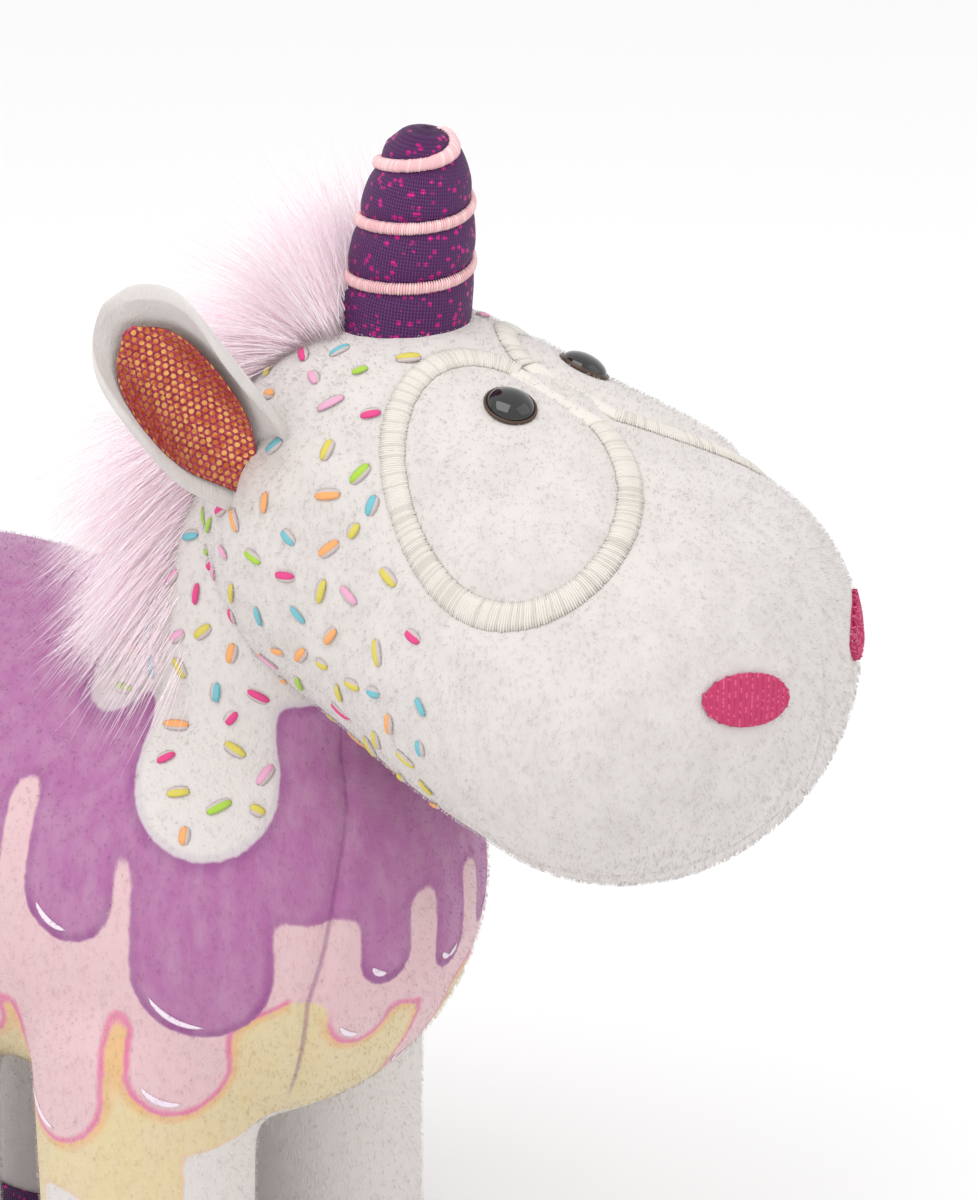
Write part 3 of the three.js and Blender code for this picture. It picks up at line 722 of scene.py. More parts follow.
def make_nostril(side, name):
    centre = FACE @ Vector((0, -HEAD_SPAN, 0))
    turn = FACE.to_3x3()
    at = Vector((side * NOSTRIL["at"][0], *NOSTRIL["at"][1:]))
    line = Vector((side * NOSTRIL["line"][0], *NOSTRIL["line"][1:])).normalized()
    upward = at.cross(line).normalized() * side

    def spot(p, q, lift):
        way = turn @ (at + line * p + upward * q).normalized()
        hit, out, _, _ = head_tree.ray_cast(centre, way)
        out = out if out.dot(way) > 0 else -out
        return hit + out * lift * MM, out

    def half(p):
        return NOSTRIL["wide"] * max(0.0, 1 - abs(p / NOSTRIL["long"]) ** 2.3) ** 0.6

    bm = bmesh.new()
    bmesh.ops.create_grid(bm, x_segments=30, y_segments=14, size=1)
    for vert in bm.verts:
        p = NOSTRIL["long"] * vert.co.x
        vert.co = spot(p, half(p) * vert.co.y, 0.25)[0]
    bmesh.ops.remove_doubles(bm, verts=bm.verts, dist=1e-5)
    bmesh.ops.solidify(bm, geom=bm.faces, thickness=0.5 * MM)
    under = finished("nostril_ground_" + name, bm, hot_pink_thread)
    rng = np.random.default_rng(61 + side)
    paths, faces = [], []
    column = 0
    for p in np.arange(-NOSTRIL["long"] + 0.5, NOSTRIL["long"] - 0.3, 1.15):
        reach = half(p)
        column += 1
        lean = 0.28 if column % 2 else -0.28
        for q in np.arange(-reach, reach, 0.46):
            q = q + rng.uniform(-0.08, 0.08)
            ends = [(-1.05, -0.2), (-0.85, 0.35), (0, 0.85), (0.85, 0.35), (1.05, -0.2)]
            stitch = [
                spot(p + lean * k * 1.1, max(-reach, min(reach, q + k * 0.62)), lift) for k, lift in ends
            ]
            paths.append([place for place, _ in stitch])
            faces.append(stitch[2][1])
    slots = (rng.random(len(paths)) < 0.4).astype(int)
    looks = [hot_pink_thread, hot_pink_light]
    title = "nostril_threads_" + name
    threads = strands(title, np.array(paths), 0.2 * MM, looks, slots, 4, 0.8, np.array(faces))
    for piece in (under, threads):
        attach(piece, "head")
    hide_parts("nostril_" + name)


for side, name in ((-1, "right"), (1, "left")):
    ring = make_ring(side, "goggles_ring_" + name)
    if side < 0:
        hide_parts("eye_patch_border")
    make_eye(side, name)
    make_nostril(side, name)

# ---------- Horn ----------
HORN_LEAN = math.radians(7.7)
HORN_STAND = Matrix.Translation(pivots["horn_flex"]) @ Matrix.Rotation(HORN_LEAN, 4, "X")
HORN_SIDE = [
    (11.2, -3), (11.2, 0), (11.0, 6), (10.7, 12), (10.2, 18), (9.3, 24), (8.1, 29), (6.4, 33), (3.9, 35.6),
    (0, 36.6),
]
SPIRAL = {"near": math.radians(-150), "height": 11.5, "rise": 10.2, "from": -0.6, "to": 2.32}


def horn_radius(height):
    """The horn's radius along a smooth side."""
    sides = np.array(HORN_SIDE)
    return float(np.interp(height, sides[:, 1], sides[:, 0]))


def make_horn():
    rounding = 33 + 3.6 * np.sin(np.linspace(0.05, math.pi / 2, 18))
    heights = np.concatenate([np.linspace(-3, 33, 73), rounding])
    fine = [horn_radius(h) for h in heights]
    for _ in range(3):
        fine = [fine[0]] + [(a + 2 * b + c) / 4 for a, b, c in zip(fine, fine[1:], fine[2:])] + [0.0]
    bm = bmesh.new()
    profile = [(0, -3 * MM)] + [(r * MM, h * MM) for r, h in zip(fine, heights)]
    profile_turned(bm, profile, Matrix.Identity(4), 160)
    turns = []
    for vert in bm.verts:
        x, y, z = vert.co
        angle = math.atan2(y, x)
        turn = (angle - SPIRAL["near"]) / math.tau
        level = (z / MM - SPIRAL["height"]) / SPIRAL["rise"]
        off = (level - turn + 0.5) % 1 - 0.5
        on = SPIRAL["from"] < level - off < SPIRAL["to"]
        pinch = 0.75 * math.exp(-((off * SPIRAL["rise"] / 1.9) ** 2)) if on else 0
        radius = math.hypot(x, y)
        if radius > 1e-6:
            puffed = max(0, radius - pinch * MM * min(1, radius / (4 * MM)))
            vert.co.x *= puffed / radius
            vert.co.y *= puffed / radius
        turns.append((math.cos(angle), math.sin(angle), z / MM))
    bm.transform(HORN_STAND)
    cover = finished("horn_knit_cover", bm, horn_knit)
    marked(cover, "turn", turns)
    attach(cover, "horn")
    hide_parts("horn_cover")
    rng = np.random.default_rng(7)
    crossings = []
    steps = int((SPIRAL["to"] - SPIRAL["from"]) * math.tau * 9.8 / 0.42)
    for k in range(steps):
        turn = SPIRAL["from"] + (SPIRAL["to"] - SPIRAL["from"]) * k / steps
        angle = SPIRAL["near"] + turn * math.tau
        level = SPIRAL["height"] + SPIRAL["rise"] * turn

        def crossing(off, angle=angle, level=level):
            height = level + off
            radius = float(np.interp(height, heights, fine)) - 0.55
            above, below = np.interp([height + 1, height - 1], heights, fine)
            slope = float(above - below) / 2
            way = Vector((math.cos(angle), math.sin(angle), 0))
            point = HORN_STAND @ (way * radius * MM + Vector((0, 0, height * MM)))
            return point, HORN_STAND.to_3x3() @ (way - Vector((0, 0, slope))).normalized()

        crossings.append(crossing)
    looks = [pale_pink_thread, pale_pink_light]
    threads = satin_band("horn_spiral", crossings, 1.0, 0.75, 0.24, looks, rng)
    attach(threads, "horn")
    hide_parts("horn_spiral_stitch")


make_horn()

# ---------- Ears ----------
EAR_LENGTH, EAR_CURL = 38.5, 8.2
EAR_LEAN_BACK = 0.004  # how fast the ear bends back, by its height squared
EAR_SEWN = Vector((1.2, -1.8, -3)) * MM  # the right ear's root, from its joint
LEFT_EAR_MOVE = Vector((-0.5, 3, -1)) * MM
SPANGLE_ACROSS, SPANGLE_DOWN = 1.35, 1.2
EAR_SIDE = [(0, 1.6), (5, 4.2), (11, 7.6), (18, 10.0), (25, 10.3), (31, 8.4), (35.5, 5.2), (38.5, 0.2)]


def ear_half(height):
    sides = np.array(EAR_SIDE)
    smooth = [np.interp(height + d, sides[:, 0], sides[:, 1]) for d in (-1.5, 0, 1.5)]
    return float(np.mean(smooth))


def ear_sheet(name, front, rear, low, high, depth, thick, material, columns=34, rows=46):
    """A curled leaf: its margins past the lining in front and behind, and how far behind it lies."""
    z = Vector((-0.375, 0.425, 0.825)).normalized()
    y = Vector((0.755, 0.655, 0)).normalized()
    root = pivots["right_ear_fold"] + EAR_SEWN
    stand = Matrix.Translation(root) @ Matrix((y.cross(z), y, z)).transposed().to_4x4()
    bm = bmesh.new()
    bmesh.ops.create_grid(bm, x_segments=columns, y_segments=rows, size=1)
    marks = []
    for vert in bm.verts:
        a, t = vert.co.x, (vert.co.y + 1) / 2
        height = low + (high - low) * t
        half = ear_half(min(EAR_LENGTH, max(0.0, (height - low) / (high - low) * EAR_LENGTH)))
        margin = (front if a > 0 else rear) * math.sqrt(max(0.0, 1 - t**6))
        width = a * (half + margin)
        angle = width / EAR_CURL
        curl = EAR_CURL + depth
        droop = EAR_LEAN_BACK * height * height
        deep = depth - droop - curl * (1 - math.cos(angle))
        place = Vector((curl * math.sin(angle), deep, height))
        vert.co = stand @ (place * MM)
        marks.append((width / SPANGLE_ACROSS, height / SPANGLE_DOWN))
    layer_c = bm.verts.layers.float.new("column")
    layer_r = bm.verts.layers.float.new("row")
    bm.verts.ensure_lookup_table()
    for vert, (column, row) in zip(bm.verts, marks):
        vert[layer_c], vert[layer_r] = column, row
    bmesh.ops.solidify(bm, geom=bm.faces, thickness=thick * MM)
    return finished(name, bm, material)


def make_ears():
    back = ear_sheet("ear_back_right", 5.4, 2.8, -2.5, EAR_LENGTH + 3.0, 1.4, -2.6, white)
    round_edge = back.modifiers.new("round_edge", "SUBSURF")
    round_edge.levels = round_edge.render_levels = 1
    applied(back)
    lining = ear_sheet("ear_lining_net_right", 0, 0, 0.6, EAR_LENGTH - 1.2, -0.25, 0.5, net, 48, 70)
    for side, name in ((-1, "right"), (1, "left")):
        pair = (back, lining)
        if side > 0:
            pair = (mirrored(back, "ear_back_left"), mirrored(lining, "ear_lining_net_left"))
            for piece in pair:
                piece.data.transform(Matrix.Translation(LEFT_EAR_MOVE))
        for piece, node in zip(pair, ("ear_" + name, "ear_lining_" + name)):
            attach(piece, name + "_ear")
            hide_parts(node)


make_ears()

# ---------- Body and legs ----------
BODY_CHEST_R, BODY_RUMP_R = 46 * MM, 45 * MM
RUMP_TOP = RUMP + Vector((0, 0, 5)) * MM
LEG_CUT, LEG_BEND = 56 * MM, 40 * MM  # where a leg's skin leaves the body's, and where its bend ends
NECK_LOW_R, NECK_HIGH_R = 26.5 * MM, 24 * MM
LEG_HIGH_R, LEG_LOW_R = 19.6 * MM, 18.6 * MM
ANKLE = 24 * MM  # the height of the leg's lower end
FOOT_SIDE = [(0, 2), (14, 2), (17.6, 3.2), (18.8, 6), (18.8, 30), (0, 30)]
LEG_REACH = 21.6 * MM  # faces this near a hip's upright belong to its leg
PILE = 0.95 * MM

# The print, in millimetres: around the body from the middle of the chest, and up from its centre.
# Each drip has its middle, its half width and the height of its tip.
ICING_EDGE = [(0, 41), (78, 41), (84, 47), (92, 62), (100, 85), (200, 85)]
ICING_DRIPS = [(75.5, 5.6, 37.0), (48.3, 16.2, 17.6)]
PURPLE_EDGE = [
    (0, 8), (16, 6), (32, 6), (49, 12), (60, 16), (73, 24), (81, 28), (103, 20), (124, 8), (200, 10),
]
PURPLE_DRIPS = [
    (0, 4.6, -10.5), (16.4, 5.2, -8), (48.8, 12, -14.5), (73, 8.8, 1), (94, 6.6, 4), (112, 9, -13),
    (131, 7.4, -3), (149, 9.4, -14), (168, 7, -1), (186, 8, -10),
]
PINK_EDGE = [(0, -15), (8, -15), (20, -11), (34, -8), (45, -13), (63, -11), (88, -14), (200, -16)]
PINK_DRIPS = [
    (0, 6, -33), (20.5, 6.4, -19.5), (53, 8.8, -29.5), (76, 10.6, -37), (98, 8, -25), (119, 10, -36),
    (142, 8, -26), (163, 9.5, -34), (184, 8, -24),
]
YELLOW_EDGE = [(0, -46), (200, -46)]
YELLOW_DRIPS = [(47, 6, -58), (62, 7, -61), (87, 7, -60), (103, 5.5, -64), (119, 7, -58), (141, 7, -61)]
WHITE_INSIDE = {"half": 40.8, "top": -37.5}
CHEST_SEAM = [(16, 33), (19.5, 24), (24, 15), (26, 9), (28, 1), (30.8, -9), (31, -28)]


# The radii that the print is wrapped on at each end, the length of its first quarter turn and of the
# way round to the tail, and how far the left side's pattern runs ahead of the right's.
CHEST_WRAP, RUMP_WRAP, QUARTER, HALF_ROUND, LEFT_AHEAD = 44, 43, 69, 192, 6
SPAN = (RUMP - CHEST).y / MM


def around_body(points):
    """How far round the body a point lies, and how high, in millimetres."""
    x, y, z = ((points - np.array(CHEST)) / MM).T
    front = CHEST_WRAP * np.arctan2(np.abs(x), -y)
    rear = QUARTER + SPAN + RUMP_WRAP * np.arctan2(np.maximum(y - SPAN, 0), np.abs(x) + 1e-6)
    u = np.where(y < 0, front, np.where(y < SPAN, QUARTER + y, rear))
    u = np.where(x > 0, u + LEFT_AHEAD * np.sin(math.pi * u / HALF_ROUND), u)
    return u, z


def hanging(u, z, edge, drips, fillet=3.4):
    """Signed distance into a layer of icing, and how near the low end of a drip a point is."""
    edge = np.array(edge, dtype=float)
    depth = z - np.interp(u, edge[:, 0], edge[:, 1])
    low = np.zeros_like(depth)
    for middle, half, tip in drips:
        away = half - np.hypot(u - middle, np.minimum(z - (tip + half), 0))
        blend = np.clip(fillet - np.abs(depth - away), 0, None) / fillet
        depth = np.maximum(depth, away) + blend * blend * fillet / 4
        near = np.abs(u - middle) < half + 3
        low = np.maximum(low, eased(tip + half * 1.1 - z, -half * 0.4, half * 0.7) * near)
    return depth, low


def print_marks(points):
    """All the print's distances at some points."""
    u, z = around_body(points)
    x, y = ((points - np.array(CHEST)) / MM).T[:2]
    marks = {}
    marks["icing"], _ = hanging(u, z, ICING_EDGE, ICING_DRIPS)
    marks["purple"], low_purple = hanging(u, z, PURPLE_EDGE, PURPLE_DRIPS)
    marks["pink"], low_pink = hanging(u, z, PINK_EDGE, PINK_DRIPS)
    yellow, _ = hanging(u, z, YELLOW_EDGE, YELLOW_DRIPS)
    inside = np.minimum(WHITE_INSIDE["half"] - np.abs(x), WHITE_INSIDE["top"] - z)
    for name in ("purple", "pink"):
        marks[name] = np.minimum(marks[name], -inside)
    marks["yellow"] = np.minimum(yellow, -inside)
    marks["low"] = np.maximum(low_purple, low_pink)
    seam = np.array(CHEST_SEAM, dtype=float)[::-1]
    marks["seam"] = u - np.interp(z, seam[:, 1], seam[:, 0])
    marks["sewn"] = eased(z, -34, -28) * (1 - eased(z, 33, 40))
    return marks


def make_body():
    bm = bmesh.new()
    capsule(bm, BODY_CHEST_R, BODY_RUMP_R, CHEST, RUMP_TOP, 72)
    capsule(bm, NECK_LOW_R, NECK_HIGH_R, NECK_ROOT, NECK_TOP)
    for hip in HIPS.values():
        capsule(bm, LEG_HIGH_R, LEG_LOW_R, hip, Vector((hip.x, hip.y, ANKLE)), 40)
        foot = [(radius * MM, height * MM) for radius, height in FOOT_SIDE]
        profile_turned(bm, foot, Matrix.Translation((hip.x, hip.y, 0)), 40)
    body = finished("body_form", bm, printed)
    remesh = body.modifiers.new("remesh", "REMESH")
    remesh.mode = "VOXEL"
    remesh.voxel_size = 1.5 * MM
    applied(body)
    bm = bmesh.new()
    bm.from_mesh(body.data)
    for _ in range(16):
        bmesh.ops.smooth_vert(
            bm, verts=bm.verts, factor=0.5, use_axis_x=True, use_axis_y=True, use_axis_z=True
        )
    bm.to_mesh(body.data)
    bm.free()
    points = places(body)
    marks = print_marks(points)
    normals = vertex_normals(body)
    groove = np.exp(-((marks["seam"] / 1.3) ** 2)) * marks["sewn"]
    x = (points[:, 0] - CHEST.x) / MM
    back = np.exp(-((x / 1.3) ** 2)) * (points[:, 2] > CHEST.z) * (points[:, 1] > NECK_ROOT.y)
    points += normals * ((0.3 - 0.9 * groove - 0.6 * back) * MM)[:, None]
    body.data.vertices.foreach_set("co", points.reshape(-1))
    return body


def capped(bm):
    """Closes open borders with sharp-edged caps."""
    border = [edge for edge in bm.edges if edge.is_boundary]
    bmesh.ops.holes_fill(bm, edges=border, sides=0)
    for edge in border:
        edge.smooth = False


def parted(source, chosen, name, keep):
    """A copy of a skin holding only the faces chosen, or only the others."""
    bm = bmesh.new()
    bm.from_mesh(source.data)
    bm.faces.ensure_lookup_table()
    drop = [face for face, inside in zip(bm.faces, chosen) if bool(inside) != keep]
    bmesh.ops.delete(bm, geom=drop, context="FACES")
    capped(bm)
    return finished(name, bm, printed)


body = make_body()
body_tree = BVHTree.FromPolygons(
    [v.co[:] for v in body.data.vertices], [p.vertices[:] for p in body.data.polygons]
)
middles = np.empty(len(body.data.polygons) * 3)
body.data.polygons.foreach_get("center", middles)
middles = middles.reshape(-1, 3)
leg_faces = {}
for name, hip in HIPS.items():
    reach = np.hypot(middles[:, 0] - hip.x, middles[:, 1] - hip.y)
    leg_faces[name] = (middles[:, 2] < LEG_CUT) & (reach < LEG_REACH)
any_leg = np.any(list(leg_faces.values()), axis=0)
legs = {name: parted(body, chosen, "leg_skin_" + name, True) for name, chosen in leg_faces.items()}
body_skin = parted(body, any_leg, "body_skin", False)
bpy.data.objects.remove(body)

for name, skin in [("body", body_skin), *legs.items()]:
    points = places(skin)
    for mark, values in print_marks(points).items():
        marked(skin, mark, values)
    marked(skin, "rest", points)


def bend_with_leg(piece, name):
    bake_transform(piece)


def bend_with_neck(piece):
    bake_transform(piece)


bend_with_neck(body_skin)
for name, leg in legs.items():
    bend_with_leg(leg, name)
    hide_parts("leg_" + name)
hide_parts("torso_side_left", "torso_side_right", "chest_panel", "belly_panel")
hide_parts("neck_panel_left", "neck_panel_right")
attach(head_skin, "head")
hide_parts("head_side_left", "head_side_right", "head_top_panel", "chin_panel", "eye_patch")

# ---------- Hooves ----------
HOOF_SIDE = [
    (0, 0.6), (17.4, 0.6), (19.3, 1.2), (20.2, 2.6), (20.5, 5), (20.4, 7), (20.2, 8), (19.9, 8.8),
    (19.3, 9.2), (18.7, 8.8), (18.2, 8.0), (0, 8.0),
]


def make_hoof(name, hip):
    profile = [(radius * MM, height * MM) for radius, height in HOOF_SIDE]
    bm = bmesh.new()
    profile_turned(bm, profile, Matrix.Translation((hip.x, hip.y, 0)), 96)
    turns = []
    for vert in bm.verts:
        angle = math.atan2(vert.co.y - hip.y, vert.co.x - hip.x)
        turns.append((math.cos(angle), math.sin(angle), vert.co.z / MM))
    hoof = finished("hoof_knit_" + name, bm, hoof_knit)
    marked(hoof, "turn", turns)
    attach(hoof, name + "_leg")
    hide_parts("hoof_" + name, "sole_" + name)


for name, hip in HIPS.items():
    make_hoof(name, hip)

# ---------- Sprinkles and shine on the print ----------
def spread(points, spacing, rng):
    """Picks points at random that lie at least a spacing apart."""
    chosen = []
    tree = KDTree(len(points))
    for i, point in enumerate(points):
        tree.insert(point, i)
    tree.balance()
    free = np.ones(len(points), dtype=bool)
    for i in rng.permutation(len(points)):
        if free[i]:
            chosen.append(i)
            for _, k, _ in tree.find_range(points[i], spacing * rng.uniform(0.85, 1.25)):
                free[k] = False
    return chosen


def sprinkled(name, points, normals, rng):
    """Rounded rods lying on a skin, each with a soft edge of shade."""
    count = len(points)
    toss = rng.normal(size=(count, 3))
    way = toss - normals * np.sum(toss * normals, axis=1, keepdims=True)
    way /= np.linalg.norm(way, axis=1, keepdims=True)
    half = rng.uniform(1.45, 2.6, count) * MM
    share = np.array([-1, -0.8, -0.3, 0.3, 0.8, 1])
    rise = np.array([0.05, 0.3, 0.38, 0.38, 0.3, 0.05]) * MM
    lengthwise = way[:, None] * (half[:, None] * share)[:, :, None]
    paths = points[:, None] + lengthwise + normals[:, None] * rise[None, :, None]
    radii = np.array([0.52, 0.74, 0.76, 0.52]) * MM
    aside = np.cross(way, normals)
    shadow_paths = paths - normals[:, None] * 0.2 * MM + aside[:, None] * 0.3 * MM
    slots = rng.integers(0, len(sprinkle_colours), count)
    every = np.concatenate([paths, shadow_paths])
    slots = np.concatenate([slots, np.full(count, len(sprinkle_colours))])
    sizes = np.concatenate([np.tile(radii, (count, 1)), np.tile(radii * 1.25, (count, 1))])
    faces = np.concatenate([normals, normals])
    return strands(name, every, sizes, [*sprinkle_colours, sprinkle_shadow], slots, 6, 0.4, faces)


# How far forward the sprinkled fabric reaches on the head, by the angle around it from the top.
SPRINKLED = [(0, -12), (29, -3), (60, 12), (77, 26), (90, 31), (104, 37), (130, 40), (180, 40)]
SPRINKLE_SPACING = 5.7 * MM
rng = np.random.default_rng(17)
points, normals = places(head_skin), vertex_normals(head_skin)
along, around = head_marks(points)
angles = np.abs(np.degrees(around / GIRTH))
edge = np.array(SPRINKLED, dtype=float)
from_ring = goggles_away(along, around)
fits = (along < np.interp(angles, edge[:, 0], edge[:, 1])) & (from_ring > 3.8)
for joint, clear in (("left_ear_fold", 5), ("right_ear_fold", 5), ("horn_flex", 14)):
    fits &= np.linalg.norm(points - np.array(pivots[joint]), axis=1) > clear * MM
points, normals = points[fits], normals[fits]
chosen = spread(points, SPRINKLE_SPACING, rng)
head_sprinkles = sprinkled("head_sprinkles", points[chosen], normals[chosen], rng)
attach(head_sprinkles, "head")

points, normals = places(body_skin), vertex_normals(body_skin)
iced = (print_marks(points)["icing"] > 2.6) & (points[:, 2] < CHEST.z + 70 * MM)
points, normals = points[iced], normals[iced]
chosen = spread(points, SPRINKLE_SPACING, rng)
body_sprinkles = sprinkled("body_sprinkles", points[chosen], normals[chosen], rng)
bend_with_neck(body_sprinkles)


def on_body(u, z, side):
    """A point on the body's skin, from its place in the print."""
    height = CHEST.z + z * MM
    if u < QUARTER:
        start = Vector((0, CHEST.y, height))
        way = Vector((side * math.sin(u / CHEST_WRAP), -math.cos(u / CHEST_WRAP), 0))
    else:
        start = Vector((0, CHEST.y + min(u - QUARTER, SPAN) * MM, height))
        way = Vector((side, 0, 0))
    hit, normal, _, _ = body_tree.ray_cast(start, way)
    return hit, normal if normal.dot(way) > 0 else -normal


def make_shine():
    """White crescents printed inside the low ends of the drips."""
    paths, faces = [], []
    for side in (-1, 1):
        for middle, half, tip in [d for d in PURPLE_DRIPS + PINK_DRIPS if d[0] < 125]:
            radius = half - 2.0
            if radius < 2:
                continue
            turn = np.radians(np.linspace(205, 272, 9))
            arc = [(middle - radius * math.cos(a), tip + half + radius * math.sin(a)) for a in turn]
            ahead = LEFT_AHEAD if side > 0 else 0
            shifted = [(u - ahead * math.sin(math.pi * u / HALF_ROUND), z) for u, z in arc]
            spots = [on_body(u, z, side) for u, z in shifted]
            paths.append([hit + out * 0.12 * MM for hit, out in spots])
            faces.append([out[:] for _, out in spots])
    radii = np.array([0.35, 0.5, 0.6, 0.62, 0.6, 0.5, 0.35]) * MM
    shine = strands("print_shine", np.array(paths), radii, [print_shine], 0, 6, 0.35, np.array(faces))
    bend_with_neck(shine)


make_shine()

# ---------- Fur ----------
def fur(name, roots, ways, lengths, droop, rng, thickness=0.085):
    """Long strands from roots, starting along ways and bending by droop."""
    count = len(roots)
    t = np.linspace(0, 1, 6)
    spread_way = ways + rng.normal(scale=0.2, size=ways.shape)
    spread_way /= np.linalg.norm(spread_way, axis=1, keepdims=True)
    curl = rng.normal(scale=0.09, size=(count, 3))
    paths = (
        roots[:, None]
        + spread_way[:, None] * (lengths[:, None] * t)[:, :, None]
        + (droop + curl)[:, None] * (lengths[:, None] * t**2)[:, :, None]
    )
    radii = np.array([1.0, 0.85, 0.65, 0.4]) * thickness * MM
    slots = rng.choice(3, count, p=[0.25, 0.45, 0.3])
    return strands(name, paths, radii, fur_colours, slots, 3)


def head_fur_places(count, half, start, end, rng):
    """Random roots over the top and back of the head, between two angles behind its top."""
    lean = np.radians(rng.uniform(start, end, count))
    off = rng.uniform(-1, 1, count) * half
    x = off / 36
    out = np.c_[np.sin(x), np.cos(x) * np.sin(lean), np.cos(x) * np.cos(lean)]
    return np.array(CRANIUM) + out * (CRANIUM_R - 0.5 * MM), out, lean, x


def make_forelock():
    rng = np.random.default_rng(23)
    roots, out, lean, x = head_fur_places(6400, 13, 12, 62, rng)
    back_way = np.c_[np.sin(x) * 1.4, np.cos(lean), -np.sin(lean)]
    tuft = eased(np.degrees(lean), 30, 14)[:, None]
    ways = out * (0.6 + 0.75 * tuft) + back_way * (0.6 - 0.35 * tuft) + np.array([0, 0, 0.55]) * tuft
    lengths = rng.uniform(13, 25, len(roots)) * MM * (1 + 0.3 * tuft[:, 0])
    droop = np.array([0, 0.22, -0.25]) * (1 - 0.8 * tuft)
    piece = fur("forelock_fur", roots, ways, lengths, droop, rng)
    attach(piece, "head")
    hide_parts("forelock")


def make_mane():
    rng = np.random.default_rng(29)
    roots, out, lean, x = head_fur_places(7200, 16, 55, 118, rng)
    ways = out * 0.75 + np.c_[np.sin(x) * 1.2, np.cos(lean) * 0.8, -np.sin(lean) * 0.6]
    lengths = rng.uniform(18, 31, len(roots)) * MM
    piece = fur("mane_fur_high", roots, ways, lengths, np.array([0, 0.15, -0.5]), rng)
    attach(piece, "head")
    count = 5200
    share = rng.uniform(0, 1, count)
    off = rng.uniform(-1, 1, count)
    low, high = NECK_ROOT + Vector((0, 20, 12)) * MM, NECK_TOP + Vector((0, 22, 2)) * MM
    spine = np.array(low) + (np.array(high) - np.array(low)) * share[:, None]
    roots = spine + np.c_[off * 15 * MM, -np.abs(off) ** 2 * 8 * MM, np.zeros(count)]
    ways = np.c_[off * 0.7, np.full(count, 0.85), np.full(count, -0.35)]
    lengths = rng.uniform(12, 23, count) * MM
    piece = fur("mane_fur_low", roots, ways, lengths, np.array([0, 0.0, -0.5]), rng)
    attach(piece, "neck")
    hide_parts("mane")


def make_tail():
    rng = np.random.default_rng(31)
    lift = pivots["tail_lift"]
    hang = Vector((0, 0.55, -0.83)).normalized()
    count = 6500
    share = rng.uniform(0, 1, count) ** 1.3
    angle = rng.uniform(0, math.tau, count)
    radius = (4 + 6.5 * np.sin(math.pi * (0.15 + 0.75 * share))) * MM * rng.uniform(0.3, 1, count)
    stand = np.array(aimed(lift, lift + hang).to_3x3())
    ring = np.c_[np.cos(angle), np.sin(angle), np.zeros(count)] @ stand.T
    roots = np.array(lift) + np.array(hang) * (share * 34 * MM)[:, None] + ring * radius[:, None]
    ways = np.array(hang) + ring * 0.5
    lengths = rng.uniform(14, 24, count) * MM
    piece = fur("tail_strands", roots, ways, lengths, np.array([0, 0.0, -0.25]), rng)
    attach(piece, "tail")
    bm = bmesh.new()
    capsule(bm, 5.5 * MM, 8.5 * MM, lift, lift + hang * 30 * MM, 32)
    core = finished("tail_core", bm, fur_colours[0])
    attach(core, "tail")
    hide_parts("tail_fur")


make_forelock()
make_mane()
make_tail()

# ---------- Short pile ----------
def pile(name, skin, count, tone, materials, seed, keep=None):
    """Short leaning fibres over a skin, each of the colour printed at its root."""
    rng = np.random.default_rng(seed)
    mesh = skin.data
    mesh.calc_loop_triangles()
    corners = np.empty(len(mesh.loop_triangles) * 3, dtype=np.int32)
    mesh.loop_triangles.foreach_get("vertices", corners)
    corners = corners.reshape(-1, 3)
    points, normals = places(skin), vertex_normals(skin)
    a, b, c = (points[corners[:, k]] for k in range(3))
    area = np.linalg.norm(np.cross(b - a, c - a), axis=1)
    pick = rng.choice(len(corners), count, p=area / area.sum())
    s, t = rng.random(count), rng.random(count)
    s, t = np.where(s + t > 1, 1 - s, s), np.where(s + t > 1, 1 - t, t)
    roots = a[pick] + (b - a)[pick] * s[:, None] + (c - a)[pick] * t[:, None]
    out = normals[corners[pick, 0]]
    if keep is not None:
        kept = keep(roots)
        roots, out = roots[kept], out[kept]
    nap = np.array([0, 0.35, -0.75]) + rng.normal(scale=0.45, size=roots.shape)
    nap -= out * np.sum(nap * out, axis=1, keepdims=True)
    length = rng.uniform(0.8, 1.25, len(roots))[:, None] * PILE
    tip = roots + (out * 0.5 + nap * 0.65) * length
    mid = (roots + tip) / 2 + out * 0.12 * MM
    paths = np.stack([roots - out * 0.1 * MM, mid, tip], axis=1)
    return strands(name, paths, 0.052 * MM, materials, tone(roots), 3)


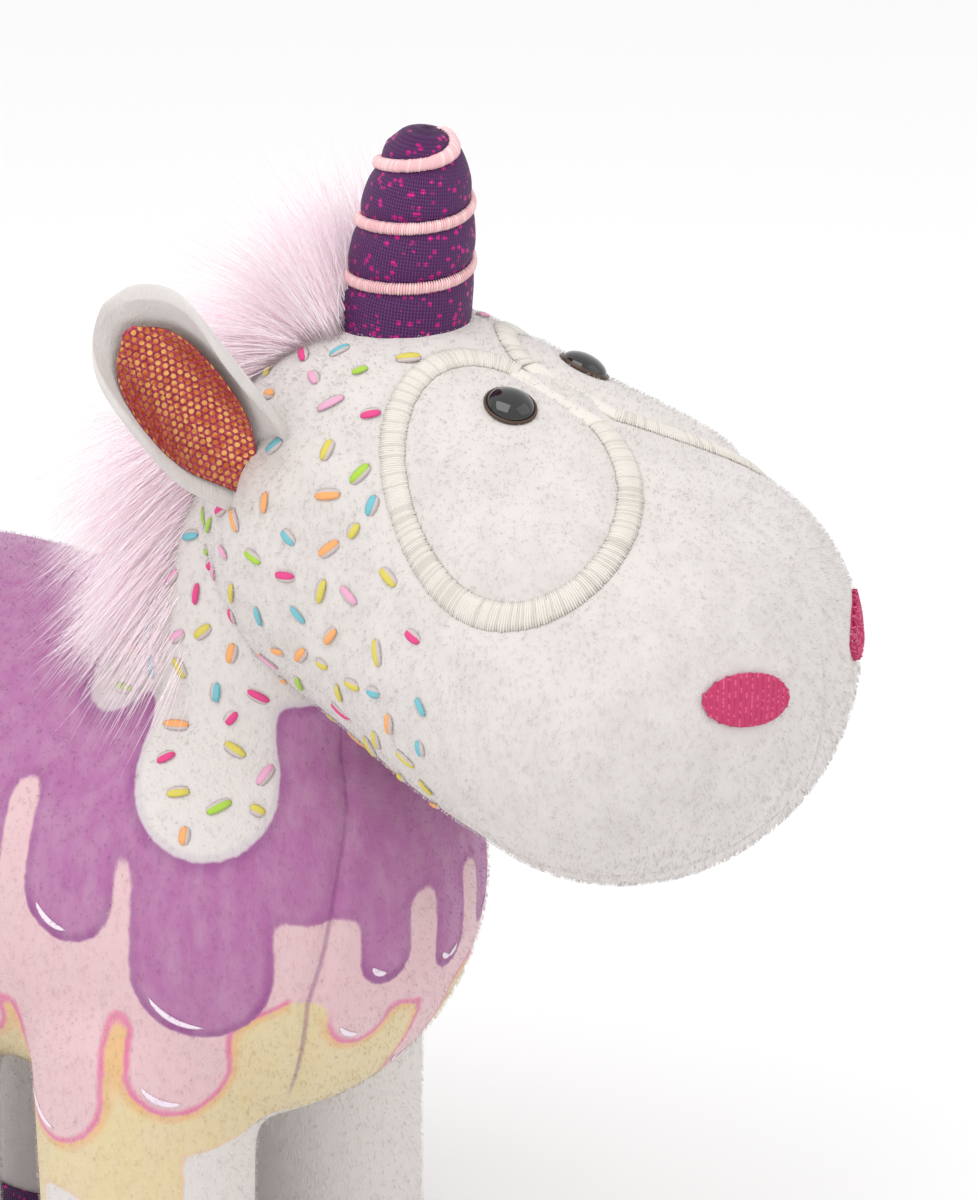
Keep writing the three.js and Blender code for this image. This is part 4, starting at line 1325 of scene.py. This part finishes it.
pile_colours = [
    plain("pile_white", shade(212, 207, 204), 0.9),
    plain("pile_purple", shade(177, 120, 161), 0.9),
    plain("pile_pink", shade(213, 183, 186), 0.9),
    plain("pile_yellow", shade(211, 195, 157), 0.9),
]


def printed_tone(roots):
    marks = print_marks(roots)
    tone = np.where(marks["yellow"] > 0, 3, 0)
    tone = np.where(marks["pink"] > 0, 2, tone)
    tone = np.where(marks["purple"] > 0, 1, tone)
    return np.where(marks["icing"] > 0, 0, tone)


def off_ring(roots):
    along, around = head_marks(roots)
    away = goggles_away(along, around)
    nostril = FACE @ Vector((0, -HEAD_SPAN, 0))
    spots = [
        nostril + FACE.to_3x3() @ Vector((side * NOSTRIL["at"][0], *NOSTRIL["at"][1:])) * MM
        for side in (-1, 1)
    ]
    clear = np.min([np.linalg.norm(roots - np.array(spot), axis=1) for spot in spots], axis=0)
    return (np.abs(away) > RING["clear"]) & (clear > 7 * MM)


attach(pile("head_pile", head_skin, 33000, lambda roots: 0, pile_colours[:1], 71, off_ring), "head")
bend_with_neck(pile("body_pile", body_skin, 33000, printed_tone, pile_colours, 73))
for k, (name, leg) in enumerate(legs.items()):
    bend_with_leg(pile("leg_pile_" + name, leg, 5000, printed_tone, pile_colours, 75 + k), name)

# ---------- Inner pieces ----------
def make_filling(node, name, body, across, upward):
    """The stuffing, drawn a little smaller than its space so that it stays inside the skin."""
    low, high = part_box(node)
    middle = (Vector(low) + Vector(high)) / 2
    bm = bmesh.new()
    bm.from_mesh(frame["nodes"][node].data)
    bm.transform(frame["nodes"][node].matrix_world)
    away = Matrix.Translation(middle)
    bm.transform(away @ Matrix.Diagonal((across, across, upward, 1)) @ away.inverted())
    filling = finished(name, bm, fibre)
    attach(filling, body)
    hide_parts(node)


make_filling("head_stuffing", "head_filling", "head", 0.93, 0.93)
for name in HIPS:
    make_filling("leg_stuffing_" + name, "leg_filling_" + name, name + "_leg", 0.8, 0.97)

INNER = {"stuffing": fibre, "washer": washer, "tail_tab": fur_colours[0]}
for name, node in frame["nodes"].items():
    for word, material in INNER.items():
        if word in name:
            node.data.materials.clear()
            node.data.materials.append(material)
